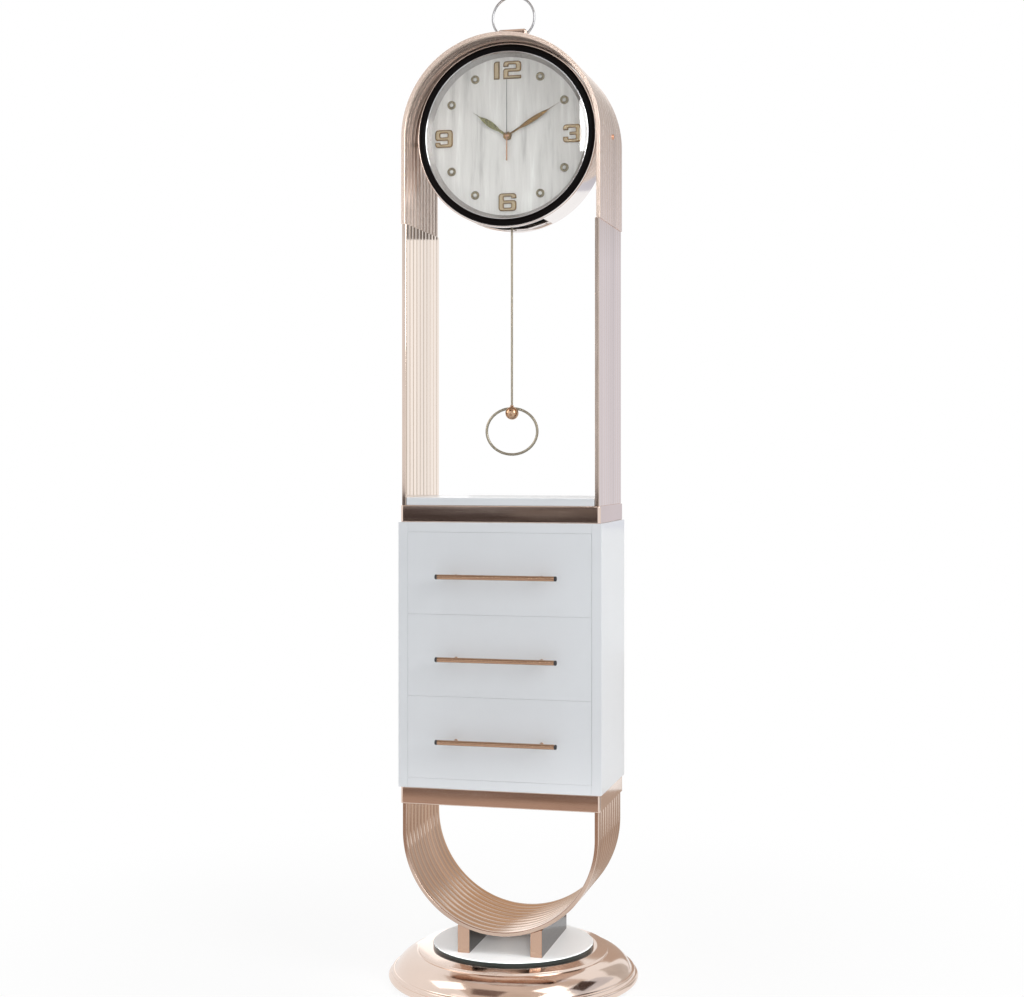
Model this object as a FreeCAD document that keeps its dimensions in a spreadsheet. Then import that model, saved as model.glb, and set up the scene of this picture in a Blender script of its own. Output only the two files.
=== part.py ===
import FreeCAD, Part
import math
import os
import re

import Sketcher
from FreeCAD import Placement, Rotation, Vector

# Free-standing floor clock: a stepped round base, a fluted hoop that carries a three-drawer cabinet,
# two fluted legs with an arch over a round clock head, and a pendulum that swings between the legs.
# Millimetres, +Z up, front towards -Y, origin on the floor under the middle of the base.

SIZES = {
    # cabinet and its boards
    "cabinet_width": 380,
    "cabinet_depth": 224,
    "cabinet_height": 486,
    "board": 18,
    "back_board": 9,
    "trim_height": 31,
    "trim_inset": 3,
    "trim_rounding": 3,
    "shelf_thickness": 14,
    "shelf_clearance": 0.4,
    # round base
    "base_radius": 233,
    "base_height": 62,
    "floor_ring_height": 4,
    "floor_ring_setback": 23,
    "floor_ring_width": 16,
    "rim_bead": 6,
    "dome_setback": 12,
    "dome_foot": 23,
    "dome_bulge": 6,
    "upper_bead_bulge": 3,
    "step_setback": 56,
    "step_height": 5,
    "step_ledge": 2,
    "plateau_setback": 75,
    "plateau_drop": 3,
    "shell_wall": 4,
    "ballast_flange": 4,
    "ballast_setback": 83,
    "ballast_height": 14,
    "ballast_clearance": 0.3,
    "mirror_setback": 8,
    "mirror_thickness": 8,
    "mirror_bevel": 1.5,
    # feet under the hoop
    "foot_bar_width": 22,
    "foot_bar_spacing": 136,
    "foot_bar_inset": 4,
    "foot_bar_height": 50,
    "bolt_radius": 4,
    "bolt_head_radius": 7,
    "bolt_head_height": 5,
    "bolt_spacing": 120,
    "bolt_grip": 26,
    # fluted bands
    "band_inset": 4,
    "rib_count": 10,
    "rib_height": 1.8,
    "valley_thickness": 5,
    "loop_inset": 6,
    "loop_rise": 34,
    "loop_straight": 50,
    "leg_inset": 5,
    "leg_height": 517,
    "arch_proud": 2,
    "arch_straight": 157,
    "pin_radius": 1.5,
    "pin_length": 40,
    # clock head
    "head_rise": 7,
    "drum_gap": 8.4,
    "drum_wall": 3,
    "drum_front": 57,
    "drum_back": 30,
    "rim_bevel": 1,
    "ledge_width": 17,
    "ledge_thickness": 4,
    "bezel_proud": 5,
    "bezel_width": 11.7,
    "bezel_bevel": 2,
    "bezel_skirt": 6.4,
    "head_fit": 0.3,
    "glass_thickness": 3,
    "rehaut_depth": 10,
    "rehaut_slope": 9,
    "dial_thickness": 1.5,
    "cover_thickness": 3,
    "cover_window_width": 76,
    "cover_window_height": 120,
    "pendulum_slot_width": 138,
    "pendulum_slot_lip": 7,
    "pendulum_slot_behind": 7,
    "spacer_radius": 8,
    "side_screw_radius": 2.5,
    "side_screw_head_radius": 5,
    "side_screw_head": 3,
    "side_screw_seat": 0.6,
    # dial furniture
    "numeral_height": 33,
    "numeral_width": 34,
    "numeral_stroke": 10,
    "numeral_bar": 6.5,
    "numeral_stem": 11,
    "numeral_gap": 7,
    "numeral_relief": 2,
    "numeral_setback": 24,
    "gem_setback": 22,
    "setting_radius": 8,
    "setting_height": 1.6,
    "gem_radius": 5,
    "gem_height": 1.6,
    # movement
    "movement_width": 56,
    "movement_above": 30,
    "movement_below": 68,
    "movement_depth": 24,
    "bush_radius": 5,
    "bush_reach": 2.6,
    "nut_radius": 8.5,
    "nut_height": 2,
    "battery_radius": 7.1,
    "battery_length": 50,
    "battery_offset": 17,
    "battery_clearance": 0.4,
    "knob_radius": 6,
    "knob_height": 6,
    "knob_stem_radius": 2,
    "knob_stem_length": 6,
    "knob_offset": 16,
    "knob_gap": 1,
    # hands
    "hand_thickness": 0.8,
    "hand_gap": 0.9,
    "running_clearance": 0.08,
    "hour_setback": 64,
    "hour_width": 11,
    "hour_angle": -55,
    "minute_setback": 29,
    "minute_width": 9,
    "minute_angle": 60,
    "second_setback": 42,
    "second_tail": 46,
    "second_width": 1.6,
    "second_tail_width": 3,
    "hub_radius": 7,
    "hour_tube_radius": 3.4,
    "minute_tube_radius": 2.4,
    "second_pin_radius": 1.2,
    # pendulum
    "pendulum_pivot_drop": 20,
    "pivot_radius": 2,
    "pivot_head_radius": 4,
    "pivot_head": 1.5,
    "hanger_width": 12,
    "hanger_thickness": 3,
    "hanger_length": 60,
    "hanger_setback": 6.5,
    "socket_radius": 4,
    "socket_length": 14,
    "rod_radius": 2,
    "rod_length": 420,
    "ball_radius": 12.5,
    "ball_socket": 1.7,
    "ring_width": 102,
    "ring_height": 91,
    "ring_wire_radius": 2.5,
    "ring_top_gap": 2.2,
    # ring on the arch
    "bow_radius": 40,
    "bow_wire_radius": 2.2,
    "bow_seat": 9,
    "neck_width": 56,
    "neck_depth": 26,
    "neck_height": 26,
    "neck_bevel": 4,
    # drawers
    "drawer_gap": 1.6,
    "drawer_side_gap": 1,
    "drawer_headroom": 46,
    "drawer_back_gap": 19,
    "drawer_box_wall": 12,
    "drawer_floor": 6,
    "runner_width": 12,
    "runner_wall": 1.5,
    "runner_height": 27,
    "runner_back_gap": 11,
    "runner_clearance": 0.35,
    "box_to_runner": 1,
    "handle_length": 226,
    "handle_radius": 4.6,
    "handle_spacing": 160,
    "handle_standoff": 24,
    "handle_drop": 5,
    "post_radius": 3.6,
}

DRAWERS = ("upper", "middle", "lower")
SIDES = {"left": -1, "right": 1}
PIN_RIBS = (-3.5, 0.5, 3.5)
GEM_HOURS = (1, 2, 4, 5, 7, 8, 10, 11)
NUMERALS = {12: "12", 3: "3", 6: "6", 9: "9"}
# strokes of each block numeral: a lone stem, or bars and the left and right halves of the columns
STROKES = {
    "1": ("stem",),
    "2": ("top", "right_upper", "middle", "left_lower", "bottom"),
    "3": ("top", "right_upper", "middle", "right_lower", "bottom"),
    "6": ("top", "left_upper", "middle", "left_lower", "right_lower", "bottom"),
    "9": ("top", "left_upper", "middle", "right_upper", "right_lower", "bottom"),
}
BALL_SIDES = 14
WIRE_SIDES = 8
GEM_SIDES = 8
HEX_SIDES = 6
RIM_FLAT_COUNT = 4
BEAD_FLAT_COUNT = 3
DOME_FLAT_COUNT = 4

# distances across the clock
BAND_DEPTH = "(cabinet_depth - 2 * band_inset)"
BAND_THICKNESS = "(valley_thickness + 2 * rib_height)"
RIB_PITCH = f"({BAND_DEPTH} / rib_count)"
LOOP_RADIUS = "(cabinet_width / 2 - loop_inset)"
LEG_RADIUS = "(cabinet_width / 2 - leg_inset)"
LEG_INSIDE = f"({LEG_RADIUS} - {BAND_THICKNESS})"
ARCH_RADIUS = f"({LEG_RADIUS} + arch_proud)"
ARCH_INSIDE = f"({ARCH_RADIUS} - {BAND_THICKNESS})"
FOOT_BAR_LENGTH = f"({BAND_DEPTH} - 2 * foot_bar_inset)"
INSIDE_HALF = "(cabinet_width / 2 - board)"
BOX_HALF = f"({INSIDE_HALF} - runner_width - box_to_runner)"
BOX_LENGTH = "(cabinet_depth - board - back_board - drawer_back_gap)"
RUNNER_LENGTH = "(cabinet_depth - board - back_board - runner_back_gap)"
DRAWER_PITCH = f"((cabinet_height - 2 * board) / {len(DRAWERS)})"
BOX_HEIGHT = f"({DRAWER_PITCH} - drawer_headroom)"
SCREW_Y = f"({RIB_PITCH} / 2)"

# radii of the base
DOME_RADIUS = "(base_radius - dome_setback)"
STEP_RADIUS = "(base_radius - step_setback)"
PLATEAU_RADIUS = "(base_radius - plateau_setback)"
MIRROR_RADIUS = f"({PLATEAU_RADIUS} - mirror_setback)"
BALLAST_RADIUS = "(base_radius - ballast_setback)"
FLOOR_RING_RADIUS = "(base_radius - floor_ring_setback)"

# heights that follow from the sizes
MIRROR_TOP = "(base_height + mirror_thickness)"
LOOP_CENTRE = f"({MIRROR_TOP} + loop_rise + {LOOP_RADIUS})"
LOOP_TOP = f"({LOOP_CENTRE} + loop_straight)"
CABINET_FOOT = f"({LOOP_TOP} + trim_height)"
CABINET_HEAD = f"({CABINET_FOOT} + cabinet_height)"
TRIM_TOP = f"({CABINET_HEAD} + trim_height)"
SEAM = f"({TRIM_TOP} + leg_height)"
ARCH_CENTRE = f"({SEAM} + arch_straight)"
ARCH_TOP = f"({ARCH_CENTRE} + {ARCH_RADIUS})"
HEAD = f"({ARCH_CENTRE} + head_rise)"
PIVOT = f"({HEAD} - pendulum_pivot_drop)"

# radii of the clock head, from the arch inwards
DRUM_RADIUS = f"({ARCH_INSIDE} - drum_gap)"
MOUTH_RADIUS = f"({DRUM_RADIUS} - drum_wall)"
BEZEL_RADIUS = f"({MOUTH_RADIUS} - head_fit)"
BEZEL_LIP_RADIUS = f"({BEZEL_RADIUS} - bezel_width)"
SKIRT_RADIUS = f"({BEZEL_RADIUS} - bezel_skirt)"
INSERT_RADIUS = f"({SKIRT_RADIUS} - head_fit)"
REHAUT_DIAL_RADIUS = f"({BEZEL_LIP_RADIUS} - rehaut_slope)"
NUMERAL_CIRCLE = f"({REHAUT_DIAL_RADIUS} - numeral_setback)"
GEM_CIRCLE = f"({REHAUT_DIAL_RADIUS} - gem_setback)"
HOUR_LENGTH = f"({REHAUT_DIAL_RADIUS} - hour_setback)"
MINUTE_LENGTH = f"({REHAUT_DIAL_RADIUS} - minute_setback)"
SECOND_LENGTH = f"({REHAUT_DIAL_RADIUS} - second_setback)"

# depths inside the head, front to back along Y
GLASS_FRONT = "(-drum_front)"
GLASS_BACK = f"({GLASS_FRONT} + glass_thickness)"
DIAL_FRONT = f"({GLASS_BACK} + rehaut_depth)"
DIAL_BACK = f"({DIAL_FRONT} + dial_thickness)"
MOVEMENT_BACK = f"({DIAL_BACK} + movement_depth)"
NUT_FRONT = f"({DIAL_FRONT} - nut_height)"
HOUR_BACK = f"({DIAL_FRONT} - bush_reach - hand_gap)"
MINUTE_BACK = f"({HOUR_BACK} - hand_thickness - hand_gap)"
SECOND_BACK = f"({MINUTE_BACK} - hand_thickness - hand_gap)"
PENDULUM_Y = f"({MOVEMENT_BACK} + hanger_setback)"

doc = FreeCAD.newDocument("floor_clock")
sheet = doc.addObject("Spreadsheet::Sheet", "dims")
for row, (name, size) in enumerate(SIZES.items(), start=1):
    sheet.set(f"A{row}", name)
    sheet.set(f"B{row}", str(size))
    sheet.setAlias(f"B{row}", name)
doc.recompute()

subparts = []


def formula(text):
    """The same text with each size pointing at its cell in the sheet."""
    return re.sub(r"[a-z][a-z_]*", lambda word: cell(word.group()), text)


def cell(word):
    return f"dims.{word}" if word in SIZES else word


def number(text):
    """The present value of a formula, worked out in a spare cell."""
    sheet.set("D1", f"={text}")
    sheet.recompute()
    return float(sheet.get("D1"))


def bind(thing, field, text):
    thing.setExpression(field, formula(text))


def place(thing, x="0", y="0", z="0"):
    for axis, text in zip("xyz", (x, y, z)):
        if text != "0":
            bind(thing, f"Placement.Base.{axis}", text)
    return thing


def keep(thing, label):
    """Hand a finished object in as one sub-part."""
    thing.Label = label
    subparts.append(thing)
    return thing


def block(x, y, z):
    """A board or bar between two planes along each axis."""
    thing = doc.addObject("Part::Box", "block")
    for field, (low, high) in zip(("Length", "Width", "Height"), (x, y, z)):
        bind(thing, field, f"({high}) - ({low})")
    return place(thing, f"({x[0]})", f"({y[0]})", f"({z[0]})")


TURNS = {"X": Rotation(Vector(0, 1, 0), 90), "Y": Rotation(Vector(1, 0, 0), -90), "Z": Rotation()}


def rod(axis, radius, start, end, centre):
    """A round bar along an axis; centre gives its two other coordinates in X, Y, Z order."""
    thing = doc.addObject("Part::Cylinder", "rod")
    thing.Placement = Placement(Vector(), TURNS[axis])
    bind(thing, "Radius", radius)
    bind(thing, "Height", f"({end}) - ({start})")
    spot = list(centre)
    spot.insert("XYZ".index(axis), f"({start})")
    return place(thing, *spot)


def group(things):
    thing = doc.addObject("Part::Compound", "group")
    thing.Links = things
    return thing


def fuse(things):
    thing = doc.addObject("Part::MultiFuse", "fuse")
    thing.Shapes = things
    return thing


def cut(base, tool):
    thing = doc.addObject("Part::Cut", "cut")
    thing.Base = base
    thing.Tool = tool
    return thing


def origin_feature(body, role):
    return next(feature for feature in body.Origin.OriginFeatures if feature.Role == role)


def new_body():
    return doc.addObject("PartDesign::Body", "body")


def new_sketch(body, role):
    sketch = body.newObject("Sketcher::SketchObject", "sketch")
    sketch.AttachmentSupport = [(origin_feature(body, role), "")]
    sketch.MapMode = "FlatFace"
    return sketch


def dimension(sketch, text, kind, *where):
    """One driving dimension of a sketch, bound to a formula."""
    index = sketch.addConstraint(Sketcher.Constraint(kind, *where, number(text)))
    sketch.setExpression(f"Constraints[{index}]", formula(text))


def pin_corner(sketch, side, end, x, y):
    """Hold a corner at its place; a corner on an axis is held on that axis."""
    for text, kind, axis in ((x, "DistanceX", -2), (y, "DistanceY", -1)):
        if text == "0":
            sketch.addConstraint(Sketcher.Constraint("PointOnObject", side, end, axis))
        else:
            dimension(sketch, text, kind, -1, 1, side, end)


def draw_outline(sketch, corners):
    """A closed outline. A corner is (x, y), or (x, y, radius) where the side that leaves it is an arc
    that bulges to the right of the way it runs."""
    spots = [Vector(number(corner[0]), number(corner[1]), 0) for corner in corners]
    ends = []
    for index, corner in enumerate(corners):
        here, there = spots[index], spots[(index + 1) % len(corners)]
        if len(corner) == 2:
            side = sketch.addGeometry(Part.LineSegment(here, there))
            ends.append((side, 1, 2))
            continue
        radius = number(corner[2])
        chord = there - here
        rise = radius - math.sqrt(max(radius**2 - chord.Length**2 / 4, 0))
        outward = Vector(chord.y, -chord.x, 0).normalize()
        side = sketch.addGeometry(Part.Arc(here, (here + there) / 2 + outward * rise, there))
        starts_here = sketch.Geometry[side].StartPoint.distanceToPoint(here) < chord.Length / 2
        ends.append((side, 1, 2) if starts_here else (side, 2, 1))
    for index, (side, first, last) in enumerate(ends):
        next_side, next_first, _ = ends[(index + 1) % len(ends)]
        sketch.addConstraint(Sketcher.Constraint("Coincident", side, last, next_side, next_first))
    for (side, first, _), corner in zip(ends, corners):
        pin_corner(sketch, side, first, corner[0], corner[1])
        if len(corner) == 3:
            dimension(sketch, corner[2], "Radius", side)


def turned(corners, axis):
    """A body of revolution. Corners are (along, radius) about Y, or (radius, height) about Z."""
    body = new_body()
    sketch = new_sketch(body, {"Y": "YZ_Plane", "Z": "XZ_Plane"}[axis])
    draw_outline(sketch, corners)
    feature = body.newObject("PartDesign::Revolution", "turn")
    feature.Profile = sketch
    feature.ReferenceAxis = (sketch, [{"Y": "H_Axis", "Z": "V_Axis"}[axis]])
    feature.Angle = 360
    return body


def padded(role, corners, length, start="0"):
    """A body padded from an outline; start moves the outline along the plane's normal."""
    body = new_body()
    sketch = new_sketch(body, role)
    draw_outline(sketch, corners)
    if start != "0":
        bind(sketch, "AttachmentOffset.Base.z", start)
    feature = body.newObject("PartDesign::Pad", "pad")
    feature.Profile = sketch
    bind(feature, "Length", length)
    return body


def eased_slab(half_x, half_y, foot, height, easing, kind, field):
    """A slab with every edge rounded or bevelled."""
    left, front = f"-{half_x}", f"-{half_y}"
    corners = [(left, front), (half_x, front), (half_x, half_y), (left, half_y)]
    body = padded("XY_Plane", corners, height)
    doc.recompute()
    pad = body.Tip
    feature = body.newObject(f"PartDesign::{kind}", "easing")
    feature.Base = (pad, [f"Edge{index + 1}" for index in range(len(pad.Shape.Edges))])
    bind(feature, field, easing)
    return place(body, z=foot)


# The fluted band: one rib is swept along the bend or padded along the leg, then repeated across the depth.


def rib_outline(centre):
    half = "(valley_thickness / 2)"
    front = f"(-{BAND_DEPTH} / 2)"
    crest = f"({half} + rib_height)"
    middle = f"({front} + {RIB_PITCH} / 2)"
    back = f"({front} + {RIB_PITCH})"
    return [
        (f"{centre} - {half}", front),
        (f"{centre} + {half}", front),
        (f"{centre} + {crest}", middle),
        (f"{centre} + {half}", back),
        (f"{centre} - {half}", back),
        (f"{centre} - {crest}", middle),
    ]


def repeat_ribs(body, rib):
    pattern = body.newObject("PartDesign::LinearPattern", "ribs")
    pattern.Originals = [rib]
    pattern.Direction = (origin_feature(body, "Y_Axis"), [""])
    bind(pattern, "Length", f"{BAND_DEPTH} - {RIB_PITCH}")
    bind(pattern, "Occurrences", "rib_count")
    body.Tip = pattern


def fluted_bend(radius, straight, opening):
    """Half a turn of band with two straight ends; opening is 1 where the ends point up, -1 where down."""
    middle = f"({radius} - {BAND_THICKNESS} / 2)"
    body = new_body()
    path = new_sketch(body, "XZ_Plane")
    reach, run = number(middle), opening * number(straight)
    start_angle = math.pi if opening > 0 else 0
    circle = Part.Circle(Vector(), Vector(0, 0, 1), reach)
    bend = path.addGeometry(Part.ArcOfCircle(circle, start_angle, start_angle + math.pi))
    path.addConstraint(Sketcher.Constraint("Coincident", bend, 3, -1, 1))
    dimension(path, middle, "Radius", bend)
    for end in (1, 2):
        path.addConstraint(Sketcher.Constraint("PointOnObject", bend, end, -1))
        x = path.getPoint(bend, end).x
        line = path.addGeometry(Part.LineSegment(Vector(x, 0, 0), Vector(x, run, 0)))
        path.addConstraint(Sketcher.Constraint("Coincident", line, 1, bend, end))
        path.addConstraint(Sketcher.Constraint("Vertical", line))
        order = (line, 1, line, 2) if opening > 0 else (line, 2, line, 1)
        dimension(path, straight, "DistanceY", *order)
    profile = new_sketch(body, "XY_Plane")
    bind(profile, "AttachmentOffset.Base.z", f"{opening} * {straight}")
    draw_outline(profile, rib_outline(f"-{middle}"))
    doc.recompute()
    rib = body.newObject("PartDesign::AdditivePipe", "rib")
    rib.Profile = profile
    rib.Spine = (path, [])
    repeat_ribs(body, rib)
    return body


def fluted_leg(side):
    centre = f"{side} * ({LEG_RADIUS} - {BAND_THICKNESS} / 2)"
    body = padded("XY_Plane", rib_outline(centre), "leg_height")
    repeat_ribs(body, body.Tip)
    return place(body, z=TRIM_TOP)


# Base: a spun shell with a rolled rim, weighted by an iron plate that stands on a rubber ring.


def swell(start, end, bulge, flats):
    """Corners of a convex stretch of the base, from its start up to, but without, its end."""
    corners = []
    (start_r, start_z), (end_r, end_z) = start, end
    chord = f"sqrt(({end_r} - {start_r}) ^ 2 + ({end_z} - {start_z}) ^ 2)"
    for index in range(flats):
        part = index / flats
        lift = f"4 * {bulge} * {part * (1 - part)} / {chord}"
        r = f"{start_r} + ({end_r} - {start_r}) * {part} + ({end_z} - {start_z}) * {lift}"
        z = f"{start_z} + ({end_z} - {start_z}) * {part} + ({start_r} - {end_r}) * {lift}"
        corners.append((r, z))
    return corners


def build_base():
    bead_top = "(floor_ring_height + 2 * rim_bead)"
    bead_radius = "(base_radius - rim_bead)"
    rim_inside = f"({bead_radius} - shell_wall)"
    step_foot = "(base_height - plateau_drop - step_height)"
    flange_top = "(floor_ring_height + ballast_flange)"
    rim = []
    for index in range(RIM_FLAT_COUNT):
        turn = f"{index * 180 / RIM_FLAT_COUNT - 90} deg"
        rim_height = f"floor_ring_height + rim_bead * (1 + sin({turn}))"
        rim.append((f"{bead_radius} + rim_bead * cos({turn})", rim_height))
    dome_top = (f"({STEP_RADIUS} + step_ledge)", step_foot)
    dome_end = (DOME_RADIUS, "dome_foot")
    shell = turned(
        [
            ("0", "base_height - shell_wall"),
            (f"{PLATEAU_RADIUS} - shell_wall", "base_height - shell_wall"),
            (f"{STEP_RADIUS} - shell_wall", f"{step_foot} - shell_wall"),
            (f"{DOME_RADIUS} - 2 * shell_wall", "dome_foot - shell_wall / 2"),
            (rim_inside, f"{flange_top} + ballast_clearance"),
            (rim_inside, "floor_ring_height"),
            *rim,
            *swell((bead_radius, bead_top), dome_end, "upper_bead_bulge", BEAD_FLAT_COUNT),
            *swell(dome_end, dome_top, "dome_bulge", DOME_FLAT_COUNT),
            dome_top,
            (STEP_RADIUS, step_foot),
            (STEP_RADIUS, "base_height - plateau_drop"),
            (PLATEAU_RADIUS, "base_height"),
            ("0", "base_height"),
        ],
        "Z",
    )
    ballast = turned(
        [
            ("0", "floor_ring_height"),
            (f"{rim_inside} - ballast_clearance", "floor_ring_height"),
            (f"{rim_inside} - ballast_clearance", flange_top),
            (BALLAST_RADIUS, flange_top),
            (BALLAST_RADIUS, "floor_ring_height + ballast_height"),
            ("0", "floor_ring_height + ballast_height"),
        ],
        "Z",
    )
    floor_ring = turned(
        [
            (f"{FLOOR_RING_RADIUS} - floor_ring_width", "0"),
            (FLOOR_RING_RADIUS, "0"),
            (FLOOR_RING_RADIUS, "floor_ring_height"),
            (f"{FLOOR_RING_RADIUS} - floor_ring_width", "floor_ring_height"),
        ],
        "Z",
    )
    mirror = turned(
        [
            ("0", "base_height"),
            (MIRROR_RADIUS, "base_height"),
            (MIRROR_RADIUS, f"{MIRROR_TOP} - mirror_bevel"),
            (f"{MIRROR_RADIUS} - mirror_bevel", MIRROR_TOP),
            ("0", MIRROR_TOP),
        ],
        "Z",
    )
    bolts = []
    head_top = "(floor_ring_height + bolt_head_height)"
    for x_side in SIDES.values():
        for y_side in SIDES.values():
            spot = (f"{x_side} * foot_bar_spacing / 2", f"{y_side} * bolt_spacing / 2")
            head = rod("Z", "bolt_head_radius", "floor_ring_height", head_top, spot)
            shank = rod("Z", "bolt_radius", head_top, f"{MIRROR_TOP} + bolt_grip", spot)
            bolts.append(fuse([head, shank]))
    foot_bolts = keep(group(bolts), "foot_bolts")
    keep(cut(shell, foot_bolts), "base_shell")
    keep(cut(ballast, foot_bolts), "base_ballast")
    keep(floor_ring, "base_floor_ring")
    keep(cut(mirror, foot_bolts), "mirror_disc")
    for name, side in SIDES.items():
        centre = f"{side} * foot_bar_spacing / 2"
        bar = block(
            (f"{centre} - foot_bar_width / 2", f"{centre} + foot_bar_width / 2"),
            (f"-{FOOT_BAR_LENGTH} / 2", f"{FOOT_BAR_LENGTH} / 2"),
            (MIRROR_TOP, f"{MIRROR_TOP} + foot_bar_height"),
        )
        saddle = rod("Y", LOOP_RADIUS, f"-{BAND_DEPTH} / 2", f"{BAND_DEPTH} / 2", ("0", LOOP_CENTRE))
        keep(cut(cut(bar, saddle), foot_bolts), f"foot_bar_{name}")


# Hoop, trims, legs and arch.


def build_frame():
    keep(place(fluted_bend(LOOP_RADIUS, "loop_straight", 1), z=LOOP_CENTRE), "lower_loop")
    half_x = "(cabinet_width / 2 - trim_inset)"
    half_y = "(cabinet_depth / 2 - trim_inset)"
    for label, foot in (("bottom_trim", LOOP_TOP), ("top_trim", CABINET_HEAD)):
        keep(eased_slab(half_x, half_y, foot, "trim_height", "trim_rounding", "Fillet", "Radius"), label)
    shelf_half = f"({LEG_INSIDE} - shelf_clearance)"
    shelf = block(
        (f"-{shelf_half}", shelf_half),
        (f"-{BAND_DEPTH} / 2", f"{BAND_DEPTH} / 2"),
        (TRIM_TOP, f"{TRIM_TOP} + shelf_thickness"),
    )
    keep(shelf, "shelf_board")
    seam_centre = f"(({LEG_RADIUS} + {ARCH_RADIUS}) / 2 - {BAND_THICKNESS} / 2)"
    pin_z = (f"{SEAM} - pin_length / 2", f"{SEAM} + pin_length / 2")
    pins = []
    for side in SIDES.values():
        for rib in PIN_RIBS:
            pins.append(rod("Z", "pin_radius", *pin_z, (f"{side} * {seam_centre}", f"{rib} * {RIB_PITCH}")))
    seam_pins = keep(group(pins), "seam_pins")
    for name, side in SIDES.items():
        keep(cut(fluted_leg(side), seam_pins), f"leg_{name}")
    arch = place(fluted_bend(ARCH_RADIUS, "arch_straight", -1), z=ARCH_CENTRE)
    return cut(arch, seam_pins)


# Cabinet carcass, with the drawer fronts set in between its boards.


def build_cabinet():
    outside = "(cabinet_width / 2)"
    front = "(-cabinet_depth / 2)"
    back = "(cabinet_depth / 2)"
    inside_z = (f"{CABINET_FOOT} + board", f"{CABINET_HEAD} - board")
    across = (f"-{INSIDE_HALF}", INSIDE_HALF)
    tall = (CABINET_FOOT, CABINET_HEAD)
    keep(block((f"-{outside}", f"-{INSIDE_HALF}"), (front, back), tall), "cabinet_side_left")
    keep(block((INSIDE_HALF, outside), (front, back), tall), "cabinet_side_right")
    keep(block(across, (front, back), (CABINET_FOOT, inside_z[0])), "cabinet_bottom")
    keep(block(across, (front, back), (inside_z[1], CABINET_HEAD)), "cabinet_top")
    keep(block(across, (f"{back} - back_board", back), inside_z), "cabinet_back")


def build_drawers():
    front = "(-cabinet_depth / 2)"
    box_front = f"({front} + board)"
    box_back = f"({box_front} + {BOX_LENGTH})"
    channels = []
    for index, name in enumerate(DRAWERS):
        centre = f"({CABINET_HEAD} - board - {DRAWER_PITCH} * {index + 0.5})"
        face_half = f"({INSIDE_HALF} - drawer_side_gap)"
        face_height = f"({DRAWER_PITCH} - drawer_gap)"
        face_z = (f"{centre} - {face_height} / 2", f"{centre} + {face_height} / 2")
        keep(block((f"-{face_half}", face_half), (front, box_front), face_z), f"{name}_drawer_front")

        box_z = (f"{centre} - {BOX_HEIGHT} / 2", f"{centre} + {BOX_HEIGHT} / 2")
        inner_half = f"({BOX_HALF} - drawer_box_wall)"
        across = (f"-{inner_half}", inner_half)
        back_inside = f"({box_back} - drawer_box_wall)"
        boards = [
            block((f"-{BOX_HALF}", f"-{inner_half}"), (box_front, box_back), box_z),
            block((inner_half, BOX_HALF), (box_front, box_back), box_z),
            block(across, (back_inside, box_back), box_z),
            block(across, (box_front, back_inside), (box_z[0], f"{box_z[0]} + drawer_floor")),
        ]
        keep(group(boards), f"{name}_drawer_box")

        bar_y = f"({front} - handle_standoff)"
        bar_z = f"({centre} - handle_drop)"
        bar = rod("X", "handle_radius", "-handle_length / 2", "handle_length / 2", (bar_y, bar_z))
        posts = []
        for side in SIDES.values():
            posts.append(rod("Y", "post_radius", bar_y, front, (f"{side} * handle_spacing / 2", bar_z)))
        keep(bar, f"{name}_handle_bar")
        keep(cut(group(posts), bar), f"{name}_handle_posts")

        rails = []
        for side in SIDES.values():
            channel_z = (f"{centre} - runner_height / 2", f"{centre} + runner_height / 2")
            run = (box_front, f"{box_front} + {RUNNER_LENGTH}")
            open_z = (f"{channel_z[0]} + runner_wall", f"{channel_z[1]} - runner_wall")
            web = f"({INSIDE_HALF} - runner_wall)"
            mouth = f"({INSIDE_HALF} - runner_width)"
            outer = block(span(side, mouth, INSIDE_HALF), run, channel_z)
            hollow = block(span(side, mouth, web), run, open_z)
            channels.append(cut(outer, hollow))
            rail_z = (f"{open_z[0]} + runner_clearance", f"{open_z[1]} - runner_clearance")
            rail_x = span(side, BOX_HALF, f"({web} - runner_clearance)")
            rails.append(block(rail_x, (box_front, box_back), rail_z))
        keep(group(rails), f"{name}_drawer_rails")
    keep(group(channels), "runner_channels")


def span(side, near, far):
    """A stretch of X between two distances from the middle, on the left or the right."""
    return (near, far) if side > 0 else (f"-{far}", f"-{near}")


# Clock head: drum, bezel, glass, dial and what stands on the dial.


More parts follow.
